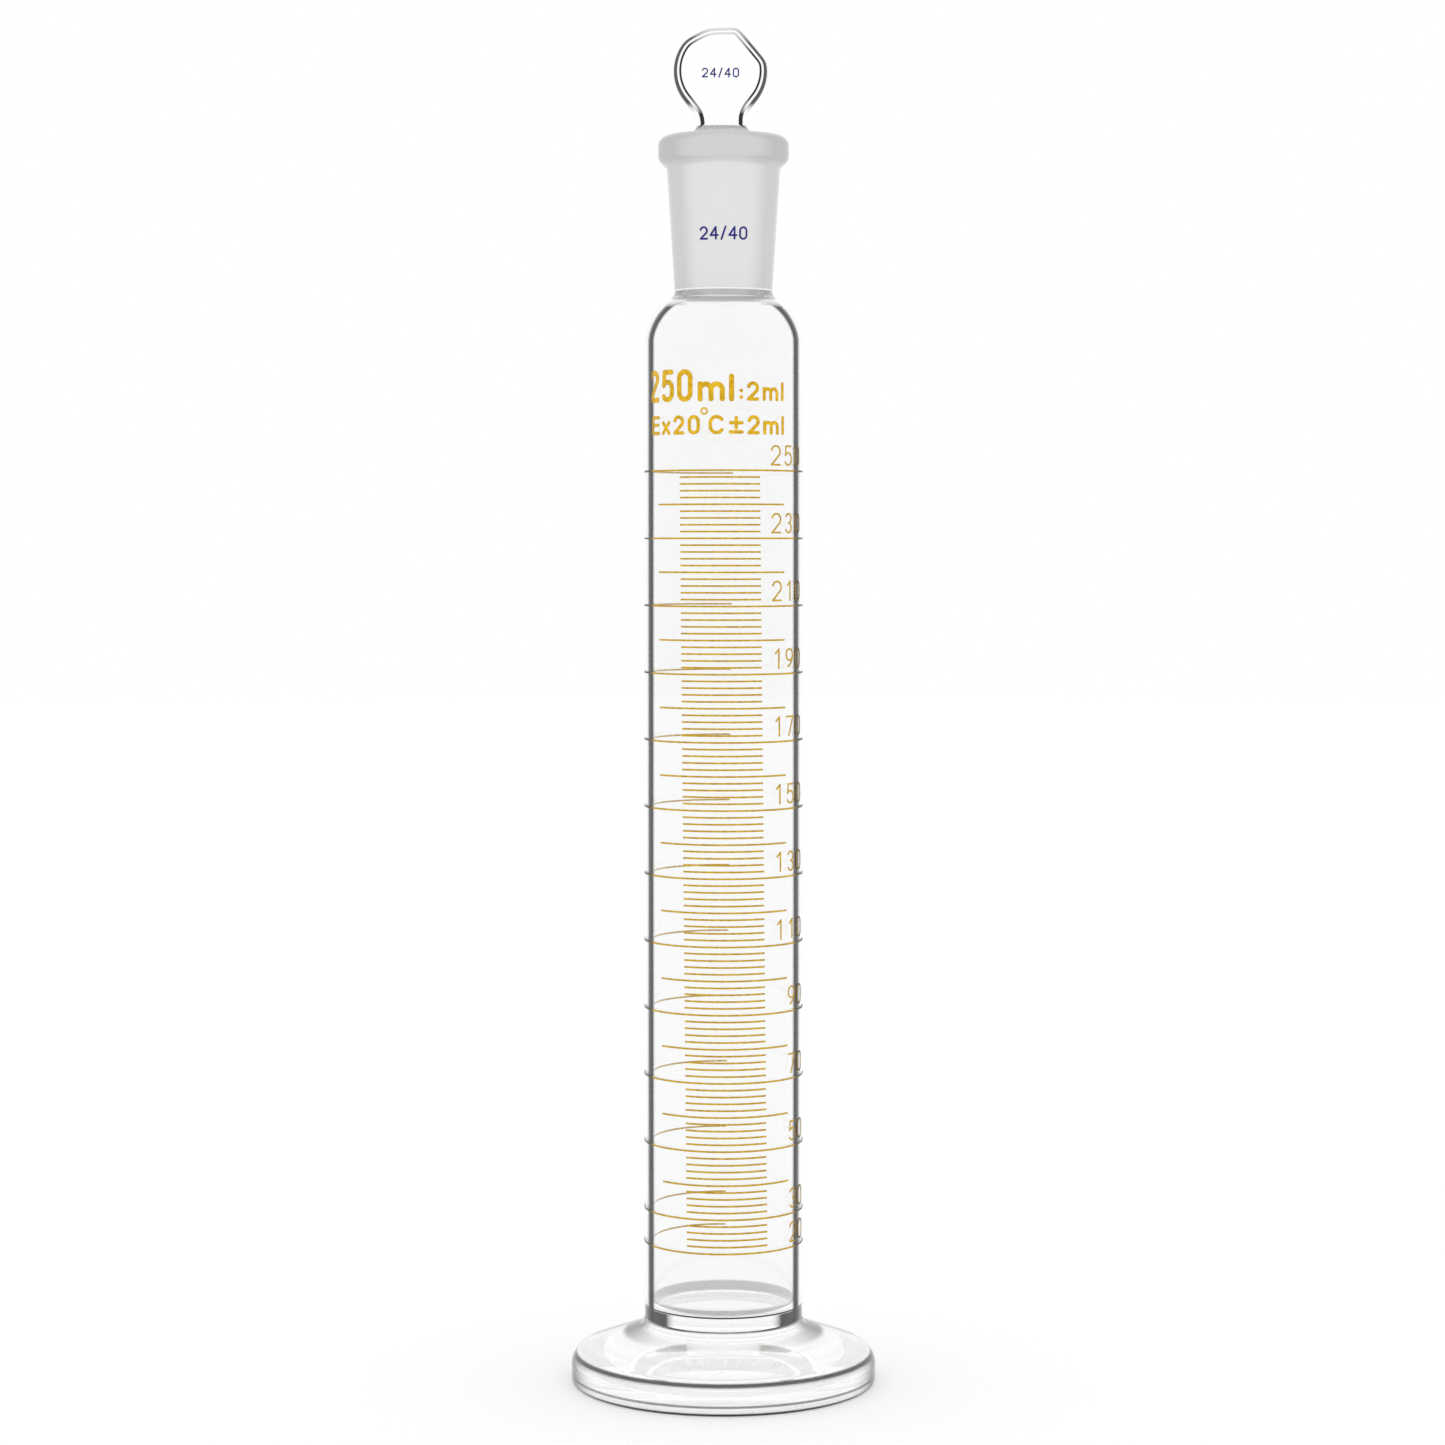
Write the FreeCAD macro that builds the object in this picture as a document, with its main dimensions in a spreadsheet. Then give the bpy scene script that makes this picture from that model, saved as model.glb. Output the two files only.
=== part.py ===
import FreeCAD, Part
import math
import os
import Sketcher

# Stoppered measuring cylinder for mixing: a graduated glass tube on a round foot, drawn in to a
# standard conical ground joint, and closed by a ground glass stopper with a flat, round head.
# Millimetres, +Z up, origin on the bench under the middle of the foot, printed front facing -Y.

SIZES = (
    # Foot: a pressed glass disc with a sloping top that runs up to a collar under the tube.
    ("foot_diameter", 80.0),
    ("foot_height", 16.7),
    ("foot_edge_height", 8.15),
    ("foot_slope_top", 15.0),
    ("foot_edge_round", 4.5),
    ("foot_bottom_round", 1.3),
    ("foot_collar_round", 2.2),
    ("foot_hollow_diameter", 58.0),
    ("foot_hollow_depth", 1.2),
    ("collar_overhang", 0.2),
    # Tube: its length follows from the capacity and the bore.
    ("capacity_ml", 250.0),
    ("tube_bore", 38.06),
    ("tube_wall", 1.72),
    ("tube_floor", 3.0),
    ("tube_floor_round", 3.0),
    ("tube_base_round", 0.6),
    ("headspace", 41.7),
    ("shoulder_slope", 30.4),
    ("shoulder_round", 13.5),
    ("neck_round", 1.8),
    ("neck_length", 1.5),
    # Joint: 24 mm wide at the rim, 40 mm long, one in ten.
    ("joint_diameter", 24.0),
    ("joint_length", 40.0),
    ("joint_taper", 0.1),
    ("joint_wall_bottom", 2.9),
    ("joint_wall_top", 3.35),
    ("joint_lead", 0.5),
    ("bead_height", 8.5),
    ("bead_overhang", 2.3),
    ("bead_rise", 2.4),
    ("rim_drop", 1.0),
    ("rim_inset", 1.9),
    ("bead_round", 2.4),
    ("bead_foot_round", 1.2),
    ("rim_round", 0.5),
    # Stopper: a ground plug with a waisted stem and a flat head.
    ("ground_clearance", 0.03),
    ("plug_tip_set", 1.0),
    ("plug_top_drop", 1.2),
    ("plug_edge_round", 0.8),
    ("stem_foot_diameter", 20.4),
    ("stem_diameter", 13.4),
    ("stem_flare_height", 2.5),
    ("stem_round", 3.0),
    ("head_diameter", 25.4),
    ("head_thickness", 5.0),
    ("head_edge_round", 2.2),
    ("head_rise", 16.6),
    ("stem_top_drop", 4.2),
    ("cheek_rise", 3.5),
    ("head_offset", 0.8),
    # Enamel: fired on as a thin film.
    ("enamel_film", 0.1),
    ("line_width", 0.45),
    ("ring_arc", 280.0),
    ("ring_start", 175.5),
    ("ten_arc", 103.0),
    ("unit_arc", 60.0),
    ("first_mark_ml", 20.0),
    ("unit_step_ml", 2.0),
    ("print_skew", 6.7),
    ("numeral_height", 4.9),
    ("numeral_stroke", 0.47),
    ("numeral_lift", 1.5),
    ("numeral_pitch", 4.8),
    ("numeral_end", 74.5),
    ("capacity_height", 7.1),
    ("capacity_stroke", 1.35),
    ("capacity_narrowing", 0.76),
    ("millilitre_height", 5.8),
    ("small_print_height", 4.1),
    ("small_print_stroke", 0.92),
    ("degree_stroke", 0.45),
    ("print_gap", 1.05),
    ("capacity_run_gap", 1.4),
    ("degree_run_gap", 0.15),
    ("capacity_lift", 18.4),
    ("capacity_turn", 9.0),
    ("tolerance_lift", 9.7),
    ("tolerance_turn", 7.0),
    ("joint_text_height", 3.0),
    ("joint_text_stroke", 0.48),
    ("joint_text_gap", 0.45),
    ("joint_text_lift", 12.0),
    ("head_text_height", 2.2),
    ("head_text_stroke", 0.36),
    ("head_text_gap", 0.44),
)

doc = FreeCAD.newDocument("measuring_cylinder")
sheet = doc.addObject("Spreadsheet::Sheet", "Sizes")
for row, (alias, value) in enumerate(SIZES, start=1):
    sheet.set(f"A{row}", alias)
    sheet.set(f"B{row}", str(value))
    sheet.setAlias(f"B{row}", alias)
doc.recompute()


def sized(formula):
    """The formula with every size name turned into a reference to its cell."""
    names = sorted((alias for alias, _ in SIZES), key=len, reverse=True)
    for number, alias in enumerate(names):
        formula = formula.replace(alias, f"@{number}@")
    for number, alias in enumerate(names):
        formula = formula.replace(f"@{number}@", f"Sizes.{alias}")
    return formula


def worked_out(formula):
    """The number that a formula of size names comes to now."""
    result = sheet.evalExpression(sized(formula))
    return float(getattr(result, "Value", result))


# Ring lines and numbers stand at the lowest mark, then at every second ten from the next one up.
FIRST_MARK = round(worked_out("first_mark_ml"))
CAPACITY = round(worked_out("capacity_ml"))
RING_MARKS = [FIRST_MARK] + list(range(FIRST_MARK + 10, CAPACITY + 1, 20))
# The plain ten lines stand between them.
TEN_MARKS = list(range(FIRST_MARK + 20, CAPACITY, 20))

# Places that several pieces share, each worked out once from the sizes.
TUBE_RADIUS = "(tube_bore / 2 + tube_wall)"
BORE_AREA = "(pi / 4 * tube_bore ^ 2)"
FLOOR_Z = "(foot_height + tube_floor)"
TOP_MARK_Z = f"({FLOOR_Z} + capacity_ml * 1000 / {BORE_AREA})"
JOINT_SMALL_RADIUS = "(joint_diameter / 2 - joint_taper * joint_length / 2)"
NECK_RADIUS = f"({JOINT_SMALL_RADIUS} + joint_wall_bottom)"
SHOULDER_Z = f"({TOP_MARK_Z} + headspace)"
SHOULDER_RISE = f"(({TUBE_RADIUS} - {NECK_RADIUS}) * tan(shoulder_slope * 1 deg))"
# The shoulder's rounding and the neck's share the slope between them, so its length limits them.
SLOPE_LENGTH = f"(({TUBE_RADIUS} - {NECK_RADIUS}) / cos(shoulder_slope * 1 deg))"
SLOPE_SHARE = 0.97
WIDEST_ROUND = f"({SLOPE_SHARE} * {SLOPE_LENGTH} / tan((90 - shoulder_slope) / 2 * 1 deg) - neck_round)"
SHOULDER_ROUND = f"min(shoulder_round; {WIDEST_ROUND})"
NECK_Z = f"({SHOULDER_Z} + {SHOULDER_RISE})"
NECK_TOP_Z = f"({NECK_Z} + neck_length)"
GROUND_Z = f"({NECK_TOP_Z} + joint_lead)"
RIM_Z = f"({GROUND_Z} + joint_length)"
BEAD_Z = f"({RIM_Z} - bead_height)"
SOCKET_RADIUS = "(joint_diameter / 2 - joint_taper * bead_height / 2 + joint_wall_top)"
BEAD_RADIUS = f"({SOCKET_RADIUS} + bead_overhang)"
HEAD_Z = f"({RIM_Z} + head_rise)"
# A full round edge keeps a sliver of flat for the solid to close on.
HEAD_EDGE_ROUND = "min(head_edge_round; 0.48 * head_thickness)"
# How far a cut runs on past the solid that it cuts, in millimetres.
CUT_MARGIN = 1.0


def new_body(name):
    body = doc.addObject("PartDesign::Body", name)
    body.Label = name
    return body


def origin_plane(body, role):
    return next(item for item in body.Origin.OriginFeatures if item.Role == role)


def new_sketch(body, name, role):
    sketch = body.newObject("Sketcher::SketchObject", name)
    sketch.AttachmentSupport = [(origin_plane(body, role), "")]
    sketch.MapMode = "FlatFace"
    return sketch


def hold(sketch, kind, item, point, formula, label):
    """Fix a point's distance from the origin, along the axis that kind names."""
    value = worked_out(formula)
    if abs(value) < 1e-9:
        axis = -2 if kind == "DistanceX" else -1
        sketch.addConstraint(Sketcher.Constraint("PointOnObject", item, point, axis))
        return
    index = sketch.addConstraint(Sketcher.Constraint(kind, -1, 1, item, point, value))
    sketch.renameConstraint(index, label)
    sketch.setExpression(f"Constraints.{label}", sized(formula))


def closed_outline(sketch, corners):
    """Draw a closed outline through corners of (across, up, rounding or None)."""
    spots = [FreeCAD.Vector(worked_out(across), worked_out(up), 0) for across, up, _ in corners]
    rounds = [worked_out(rounding) if rounding else 0.0 for _, _, rounding in corners]
    count = len(corners)
    arrive, leave = [], []
    for index, spot in enumerate(spots):
        back = (spots[index - 1] - spot).normalize()
        onward = (spots[(index + 1) % count] - spot).normalize()
        setback = rounds[index] / math.tan(back.getAngle(onward) / 2) if rounds[index] else 0.0
        arrive.append(spot + back * setback)
        leave.append(spot + onward * setback)
    lines = [
        sketch.addGeometry(Part.LineSegment(leave[index], arrive[(index + 1) % count]))
        for index in range(count)
    ]
    for index, (across, up, rounding) in enumerate(corners):
        before, after = lines[index - 1], lines[index]
        if rounding is None:
            sketch.addConstraint(Sketcher.Constraint("Coincident", before, 2, after, 1))
            hold(sketch, "DistanceX", after, 1, across, f"across_{index}")
            hold(sketch, "DistanceY", after, 1, up, f"up_{index}")
            continue
        point = sketch.addGeometry(Part.Point(spots[index]), True)
        sketch.addConstraint(Sketcher.Constraint("PointOnObject", point, 1, before))
        sketch.addConstraint(Sketcher.Constraint("PointOnObject", point, 1, after))
        hold(sketch, "DistanceX", point, 1, across, f"across_{index}")
        hold(sketch, "DistanceY", point, 1, up, f"up_{index}")
        arc, starts_before = rounding_arc(arrive[index], leave[index], spots[index], rounds[index])
        curve = sketch.addGeometry(arc)
        ends = (1, 2) if starts_before else (2, 1)
        sketch.addConstraint(Sketcher.Constraint("Tangent", before, 2, curve, ends[0]))
        sketch.addConstraint(Sketcher.Constraint("Tangent", after, 1, curve, ends[1]))
        size = sketch.addConstraint(Sketcher.Constraint("Radius", curve, rounds[index]))
        sketch.renameConstraint(size, f"round_{index}")
        sketch.setExpression(f"Constraints.round_{index}", sized(rounding))


def rounding_arc(first, last, corner, radius):
    """The arc that rounds a corner, and whether it runs from first to last."""
    inward = ((first + last) * 0.5 - corner).normalize()
    reach = math.hypot((first - corner).Length, radius)
    centre = corner + inward * reach
    start = math.atan2(first.y - centre.y, first.x - centre.x)
    end = math.atan2(last.y - centre.y, last.x - centre.x)
    turn = (end - start) % (2 * math.pi)
    circle = Part.Circle(centre, FreeCAD.Vector(0, 0, 1), radius)
    if turn < math.pi:
        return Part.ArcOfCircle(circle, start, start + turn), True
    return Part.ArcOfCircle(circle, end, end + 2 * math.pi - turn), False


def turned_body(name, corners):
    """A solid of revolution about Z from an outline of (radius, height, rounding)."""
    body = new_body(name)
    turn_outline(body, f"{name}_outline", corners)
    return body


def turn_outline(body, name, corners, angle="360"):
    sketch = new_sketch(body, name, "XZ_Plane")
    closed_outline(sketch, corners)
    turned = body.newObject("PartDesign::Revolution", f"{name}_turned")
    turned.Profile = sketch
    turned.ReferenceAxis = (sketch, ["V_Axis"])
    turned.setExpression("Angle", sized(angle))
    return turned


# Glass pieces.

def make_foot():
    collar = f"({TUBE_RADIUS} + collar_overhang)"
    return turned_body("foot", [
        ("0", "foot_hollow_depth", None),
        ("foot_hollow_diameter / 2", "0", None),
        ("foot_diameter / 2", "0", "foot_bottom_round"),
        ("foot_diameter / 2", "foot_edge_height", "foot_edge_round"),
        (collar, "foot_slope_top", "foot_collar_round"),
        (collar, "foot_height", None),
        ("0", "foot_height", None),
    ])


def make_tube():
    slope = "(shoulder_slope * 1 deg)"
    drop = f"(tube_wall / cos({slope}))"
    inner_shoulder = f"({SHOULDER_Z} + tube_wall * tan({slope}) - {drop})"
    inner_neck = f"({NECK_Z} + joint_wall_bottom * tan({slope}) - {drop})"
    return turned_body("measuring_tube", [
        ("0", "foot_height", None),
        (TUBE_RADIUS, "foot_height", "tube_base_round"),
        (TUBE_RADIUS, SHOULDER_Z, SHOULDER_ROUND),
        (NECK_RADIUS, NECK_Z, "neck_round"),
        (NECK_RADIUS, NECK_TOP_Z, None),
        (JOINT_SMALL_RADIUS, NECK_TOP_Z, None),
        (JOINT_SMALL_RADIUS, inner_neck, "neck_round + tube_wall / 2"),
        ("tube_bore / 2", inner_shoulder, f"{SHOULDER_ROUND} - tube_wall"),
        ("tube_bore / 2", FLOOR_Z, "tube_floor_round"),
        ("0", FLOOR_Z, None),
    ])


def make_socket():
    return turned_body("socket_joint", [
        (NECK_RADIUS, NECK_TOP_Z, None),
        (SOCKET_RADIUS, BEAD_Z, "bead_foot_round"),
        (BEAD_RADIUS, f"{BEAD_Z} + bead_rise", "bead_round"),
        (BEAD_RADIUS, f"{RIM_Z} - rim_drop", "bead_round"),
        (f"{BEAD_RADIUS} - rim_inset", RIM_Z, "rim_round"),
        ("joint_diameter / 2", RIM_Z, "rim_round"),
        (JOINT_SMALL_RADIUS, GROUND_Z, None),
        (JOINT_SMALL_RADIUS, NECK_TOP_Z, None),
    ])


def make_plug():
    tip = f"({GROUND_Z} + plug_tip_set)"
    top = f"({RIM_Z} - plug_top_drop)"
    tip_radius = f"({JOINT_SMALL_RADIUS} + plug_tip_set * joint_taper / 2 - ground_clearance)"
    top_radius = "(joint_diameter / 2 - plug_top_drop * joint_taper / 2 - ground_clearance)"
    return turned_body("stopper_plug", [
        ("0", tip, None),
        (tip_radius, tip, "plug_edge_round"),
        (top_radius, top, "plug_edge_round"),
        ("stem_foot_diameter / 2", RIM_Z, None),
        ("0", RIM_Z, None),
    ])


def make_head():
    """A disc with full round edges on a waisted stem, whose cheeks are pressed flat."""
    body = new_body("stopper_head")
    disc = new_sketch(body, "head_disc", "XZ_Plane")
    circle = Part.Circle(FreeCAD.Vector(-worked_out("head_offset"), worked_out(HEAD_Z), 0),
                         FreeCAD.Vector(0, 0, 1), worked_out("head_diameter / 2"))
    disc.addGeometry(circle)
    hold(disc, "DistanceX", 0, 3, "-head_offset", "disc_across")
    hold(disc, "DistanceY", 0, 3, HEAD_Z, "disc_up")
    size = disc.addConstraint(Sketcher.Constraint("Radius", 0, circle.Radius))
    disc.renameConstraint(size, "disc_radius")
    disc.setExpression("Constraints.disc_radius", sized("head_diameter / 2"))
    pad = body.newObject("PartDesign::Pad", "head_pad")
    pad.Profile = disc
    pad.SideType = "Symmetric"
    pad.setExpression("Length", sized("head_thickness"))
    doc.recompute()
    edges = body.newObject("PartDesign::Fillet", "head_edges")
    rims = [f"Edge{number}" for number, edge in enumerate(pad.Shape.Edges, start=1)
            if isinstance(edge.Curve, Part.Circle)]
    edges.Base = (pad, rims)
    edges.setExpression("Radius", sized(HEAD_EDGE_ROUND))
    doc.recompute()
    stem_top = f"({HEAD_Z} - stem_top_drop)"
    turn_outline(body, "stem_outline", [
        ("0", RIM_Z, None),
        ("stem_foot_diameter / 2", RIM_Z, None),
        ("stem_diameter / 2", f"{RIM_Z} + stem_flare_height", "stem_round"),
        ("stem_diameter / 2", stem_top, None),
        ("0", stem_top, None),
    ])
    doc.recompute()
    round_volume = body.Shape.Volume
    cheeks = new_sketch(body, "stem_cheeks", "YZ_Plane")
    outside = f"(stem_diameter / 2 + {CUT_MARGIN})"
    above = f"{stem_top} + {CUT_MARGIN}"
    for side in ("", "-"):
        draw_cheek(cheeks, [
            (f"{side}{outside}", f"{RIM_Z} + stem_flare_height"),
            (f"{side}{outside}", above),
            (f"{side}head_thickness / 2", above),
            (f"{side}head_thickness / 2", f"{stem_top} - cheek_rise"),
        ])
    pocket = body.newObject("PartDesign::Pocket", "stem_pressing")
    pocket.Profile = cheeks
    pocket.Type = "ThroughAll"
    pocket.Midplane = True
    doc.recompute()
    if body.Shape.Volume >= round_volume:
        raise RuntimeError("the stem's cheeks were not cut")
    return body


def draw_cheek(sketch, corners):
    """One closed straight-sided loop, its corners held by formulas."""
    spots = [FreeCAD.Vector(worked_out(across), worked_out(up), 0) for across, up in corners]
    first = sketch.GeometryCount
    count = len(corners)
    for index in range(count):
        sketch.addGeometry(Part.LineSegment(spots[index], spots[(index + 1) % count]))
    for index, (across, up) in enumerate(corners):
        line = first + index
        before = first + (index - 1) % count
        sketch.addConstraint(Sketcher.Constraint("Coincident", before, 2, line, 1))
        hold(sketch, "DistanceX", line, 1, across, f"across_{line}")
        hold(sketch, "DistanceY", line, 1, up, f"up_{line}")


# Enamel lines.

def mark_height(millilitres):
    """Formula for the height of a mark, from the volume that stands below it."""
    return f"({FLOOR_Z} + {millilitres} * 1000 / {BORE_AREA})"


def skew_turn(height):
    """Formula for how far the print has crept round the tube at a height, in degrees."""
    middle = f"(({mark_height('first_mark_ml')} + {TOP_MARK_Z}) / 2)"
    return f"(print_skew * ({middle} - {height}) / ({TOP_MARK_Z} - {FLOOR_Z}))"


def make_ring(millilitres):
    """A ring line most of the way round, open at the back on the right."""
    height = mark_height(millilitres)
    body = new_body(f"ring_{millilitres}")
    turn_outline(body, f"ring_{millilitres}_section", [
        (TUBE_RADIUS, f"{height} - line_width / 2", None),
        (f"{TUBE_RADIUS} + enamel_film", f"{height} - line_width / 2", None),
        (f"{TUBE_RADIUS} + enamel_film", f"{height} + line_width / 2", None),
        (TUBE_RADIUS, f"{height} + line_width / 2", None),
    ], "ring_arc")
    # The section is drawn on the +X side, a quarter turn on from the front.
    body.setExpression("Placement.Rotation.Angle", sized(f"ring_start - 90 + {skew_turn(height)}"))
    return body


def short_lines(name, marks, arc_name):
    """Separate short lines up the front, each turned a little on from the one above."""
    arc = worked_out(arc_name)
    radius = worked_out(TUBE_RADIUS)
    film = worked_out("enamel_film")
    width = worked_out("line_width")
    lines = []
    for millilitres in marks:
        height = worked_out(mark_height(millilitres))
        section = Part.makePlane(width, film, FreeCAD.Vector(radius, 0, height - width / 2),
                                 FreeCAD.Vector(0, 1, 0))
        line = section.revolve(FreeCAD.Vector(), FreeCAD.Vector(0, 0, 1), arc)
        turn = -90 - arc / 2 + worked_out(skew_turn(f"{height:.6f}"))
        line.rotate(FreeCAD.Vector(), FreeCAD.Vector(0, 0, 1), turn)
        lines.append(line)
    return new_feature(name, Part.makeCompound(lines))


def new_feature(name, shape):
    feature = doc.addObject("Part::Feature", name)
    feature.Label = name
    feature.Shape = shape
    feature.Placement = FreeCAD.Placement()
    return feature


# Lettering: each character is its usual width and its pen strokes, for capitals one unit high,
# drawn w wide. A line is its two ends; an arc is centre, radius, and the angles it runs between;
# a ring is centre and radius; a loop is a middle, a radius, and the heights of its round ends.

GLYPHS = {
    "0": (0.6, lambda w: [("loop", w / 2, w / 2, w / 2, 1 - w / 2)]),
    "1": (0.34, lambda w: [("line", 0.06 * w, 0.78, 0.76 * w, 1), ("line", 0.76 * w, 1, 0.76 * w, 0)]),
    "2": (0.6, lambda w: [("arc", w / 2, 1 - w / 2, w / 2, -35, 165),
                          ("line", 0.91 * w, 1 - 0.787 * w, 0, 0), ("line", 0, 0, w, 0)]),
    "3": (0.58, lambda w: [("arc", 0.48 * w, 0.755, 0.245, -90, 155),
                           ("arc", w / 2, 0.255, 0.255, -155, 90)]),
    "4": (0.64, lambda w: [("line", 0.73 * w, 0, 0.73 * w, 1), ("line", 0.73 * w, 1, 0, 0.3),
                           ("line", 0, 0.3, w, 0.3)]),
    "5": (0.6, lambda w: [("line", 0.93 * w, 1, 0.17 * w, 1), ("line", 0.17 * w, 1, 0.1 * w, 0.52),
                          ("arc", w / 2, 0.64 - w / 2, w / 2, 0, 140),
                          ("line", w, 0.64 - w / 2, w, w / 2), ("arc", w / 2, w / 2, w / 2, -150, 0)]),
    "6": (0.6, lambda w: [("ring", w / 2, w / 2, w / 2), ("arc", 1.1 * w, w / 2, 1.1 * w, 110, 180)]),
    "7": (0.6, lambda w: [("line", 0, 1, w, 1), ("line", w, 1, w / 3, 0)]),
    "8": (0.56, lambda w: [("ring", w / 2, 0.76, 0.24), ("ring", w / 2, 0.26, 0.26)]),
    "9": (0.6, lambda w: [("ring", w / 2, 1 - w / 2, w / 2),
                          ("arc", -0.1 * w, 1 - w / 2, 1.1 * w, -70, 0)]),
    "/": (0.36, lambda w: [("line", 0, -0.04, w, 1.04)]),
    ":": (0.0, lambda w: [("line", 0, 0.1, 0, 0.12), ("line", 0, 0.52, 0, 0.54)]),
    "m": (1.0, lambda w: [("line", 0, 0, 0, 0.67), ("arc", w / 4, 0.66 - w / 4, w / 4, 0, 150),
                          ("line", w / 2, 0, w / 2, 0.66 - w / 4),
                          ("arc", 0.75 * w, 0.66 - w / 4, w / 4, 0, 150),
                          ("line", w, 0, w, 0.66 - w / 4)]),
    "l": (0.0, lambda w: [("line", 0, 0, 0, 1)]),
    "E": (0.64, lambda w: [("line", 0, 0, 0, 1), ("line", 0, 1, w, 1), ("line", 0, 0.52, 0.9 * w, 0.52),
                           ("line", 0, 0, w, 0)]),
    "x": (0.54, lambda w: [("line", 0, 0, w, 0.66), ("line", 0, 0.66, w, 0)]),
    "C": (0.8, lambda w: [("arc", w / 2, 1 - w / 2, w / 2, 35, 180), ("line", 0, 1 - w / 2, 0, w / 2),
                          ("arc", w / 2, w / 2, w / 2, 180, 325)]),
    "+": (0.72, lambda w: [("line", 0, 0.62, w, 0.62), ("line", w / 2, 0.3, w / 2, 0.94),
                           ("line", 0, 0.04, w, 0.04)]),
    "o": (0.38, lambda w: [("ring", w / 2, 1.36, w / 2)]),
}


def round_ended_face(start, end, reach):
    """A flat face that reaches a set distance from the line between two points."""
    along = (end - start).normalize()
    side = FreeCAD.Vector(-along.y, along.x, 0) * reach
    edges = [
        Part.LineSegment(start - side, end - side),
        Part.Arc(end - side, end + along * reach, end + side),
        Part.LineSegment(end + side, start + side),
        Part.Arc(start + side, start - along * reach, start - side),
    ]
    return Part.Face(Part.Wire([edge.toShape() for edge in edges]))


def pen_stroke(stroke, height, pen):
    """A flat face for one pen stroke, with round ends."""
    kind = stroke[0]
    numbers = [value * height for value in stroke[1:5]]
    up = FreeCAD.Vector(0, 0, 1)
    half = pen / 2
    if kind == "ring":
        middle = FreeCAD.Vector(numbers[0], numbers[1], 0)
        outer = Part.Face(Part.Wire(Part.makeCircle(numbers[2] + half, middle, up)))
        return outer.cut(Part.Face(Part.Wire(Part.makeCircle(numbers[2] - half, middle, up))))
    if kind == "loop":
        low = FreeCAD.Vector(numbers[0], numbers[2], 0)
        high = FreeCAD.Vector(numbers[0], numbers[3], 0)
        outer = round_ended_face(low, high, numbers[1] + half)
        return outer.cut(round_ended_face(low, high, numbers[1] - half))
    if kind == "line":
        start = FreeCAD.Vector(numbers[0], numbers[1], 0)
        end = FreeCAD.Vector(numbers[2], numbers[3], 0)
        return round_ended_face(start, end, half)
    middle = FreeCAD.Vector(numbers[0], numbers[1], 0)
    radius = stroke[3] * height
    first, last = (math.radians(angle) for angle in stroke[4:6])

    def place(reach, angle):
        return middle + FreeCAD.Vector(math.cos(angle), math.sin(angle), 0) * reach

    between = (first + last) / 2
    ends = []
    for angle, way in ((last, 1), (first, -1)):
        tip = place(radius, angle) + FreeCAD.Vector(-math.sin(angle), math.cos(angle), 0) * half * way
        ends.append(tip)
    edges = [
        Part.Arc(place(radius + half, first), place(radius + half, between), place(radius + half, last)),
        Part.Arc(place(radius + half, last), ends[0], place(radius - half, last)),
        Part.Arc(place(radius - half, last), place(radius - half, between), place(radius - half, first)),
        Part.Arc(place(radius - half, first), ends[1], place(radius + half, first)),
    ]
    return Part.Face(Part.Wire([edge.toShape() for edge in edges]))


class Pen:
    """How a run of text is written: capital height, stroke, gap and narrowing."""

    def __init__(self, height, stroke, gap, narrowing=1.0):
        self.height = height
        self.stroke = stroke
        self.gap = gap
        self.narrowing = narrowing

    def width(self, character):
        """A character's width without its stroke."""
        return GLYPHS[character][0] * self.narrowing * self.height

    def places(self, text):
        """Each character's middle along a line of text, and the text's whole width."""
        reach = 0.0
        middles = []
        for character in text:
            width = self.width(character) + self.stroke
            middles.append(reach + width / 2)
            reach += width + self.gap
        return middles, reach - self.gap


def glyph_block(character, pen, depth):
    """A character as a block, drawn in the XZ plane about its middle, depth thick along Y."""
    usual_width, draw = GLYPHS[character]
    blocks = [pen_stroke(stroke, pen.height, pen.stroke).extrude(FreeCAD.Vector(0, 0, depth))
              for stroke in draw(usual_width * pen.narrowing)]
    block = blocks[0].fuse(blocks[1:]) if len(blocks) > 1 else blocks[0]
    block.translate(FreeCAD.Vector(-pen.width(character) / 2, 0, 0))
    block.rotate(FreeCAD.Vector(), FreeCAD.Vector(1, 0, 0), 90)
    return block


def wrap_glyph(character, pen, radius, turn, base, shell):
    """A character pressed through a thin shell round Z, at a turn and a base height."""
    half = (pen.width(character) + pen.stroke) / 2
    sag = radius - math.sqrt(radius ** 2 - half ** 2)
    depth = worked_out("enamel_film") + sag + 2 * CUT_MARGIN
    block = glyph_block(character, pen, depth)
    block.translate(FreeCAD.Vector(0, sag + CUT_MARGIN - radius, base))
    block.rotate(FreeCAD.Vector(), FreeCAD.Vector(0, 0, 1), turn)
    return block.common(shell)


def wrap_text(text, pen, radius, turn, base, shell):
    """A line of text round a shell, its middle at a turn from the front."""
    middles, width = pen.places(text)
    return [
        wrap_glyph(character, pen, radius, turn + math.degrees((middle - width / 2) / radius), base, shell)
        for character, middle in zip(text, middles)
    ]


def tube_shell():
    """The film's thickness all round the straight part of the tube."""
    radius = worked_out(TUBE_RADIUS)
    height = worked_out(f"{SHOULDER_Z} - {FLOOR_Z}")
    place = FreeCAD.Vector(0, 0, worked_out(FLOOR_Z))
    outer = Part.makeCylinder(radius + worked_out("enamel_film"), height, place)
    return outer.cut(Part.makeCylinder(radius, height, place))


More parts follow.
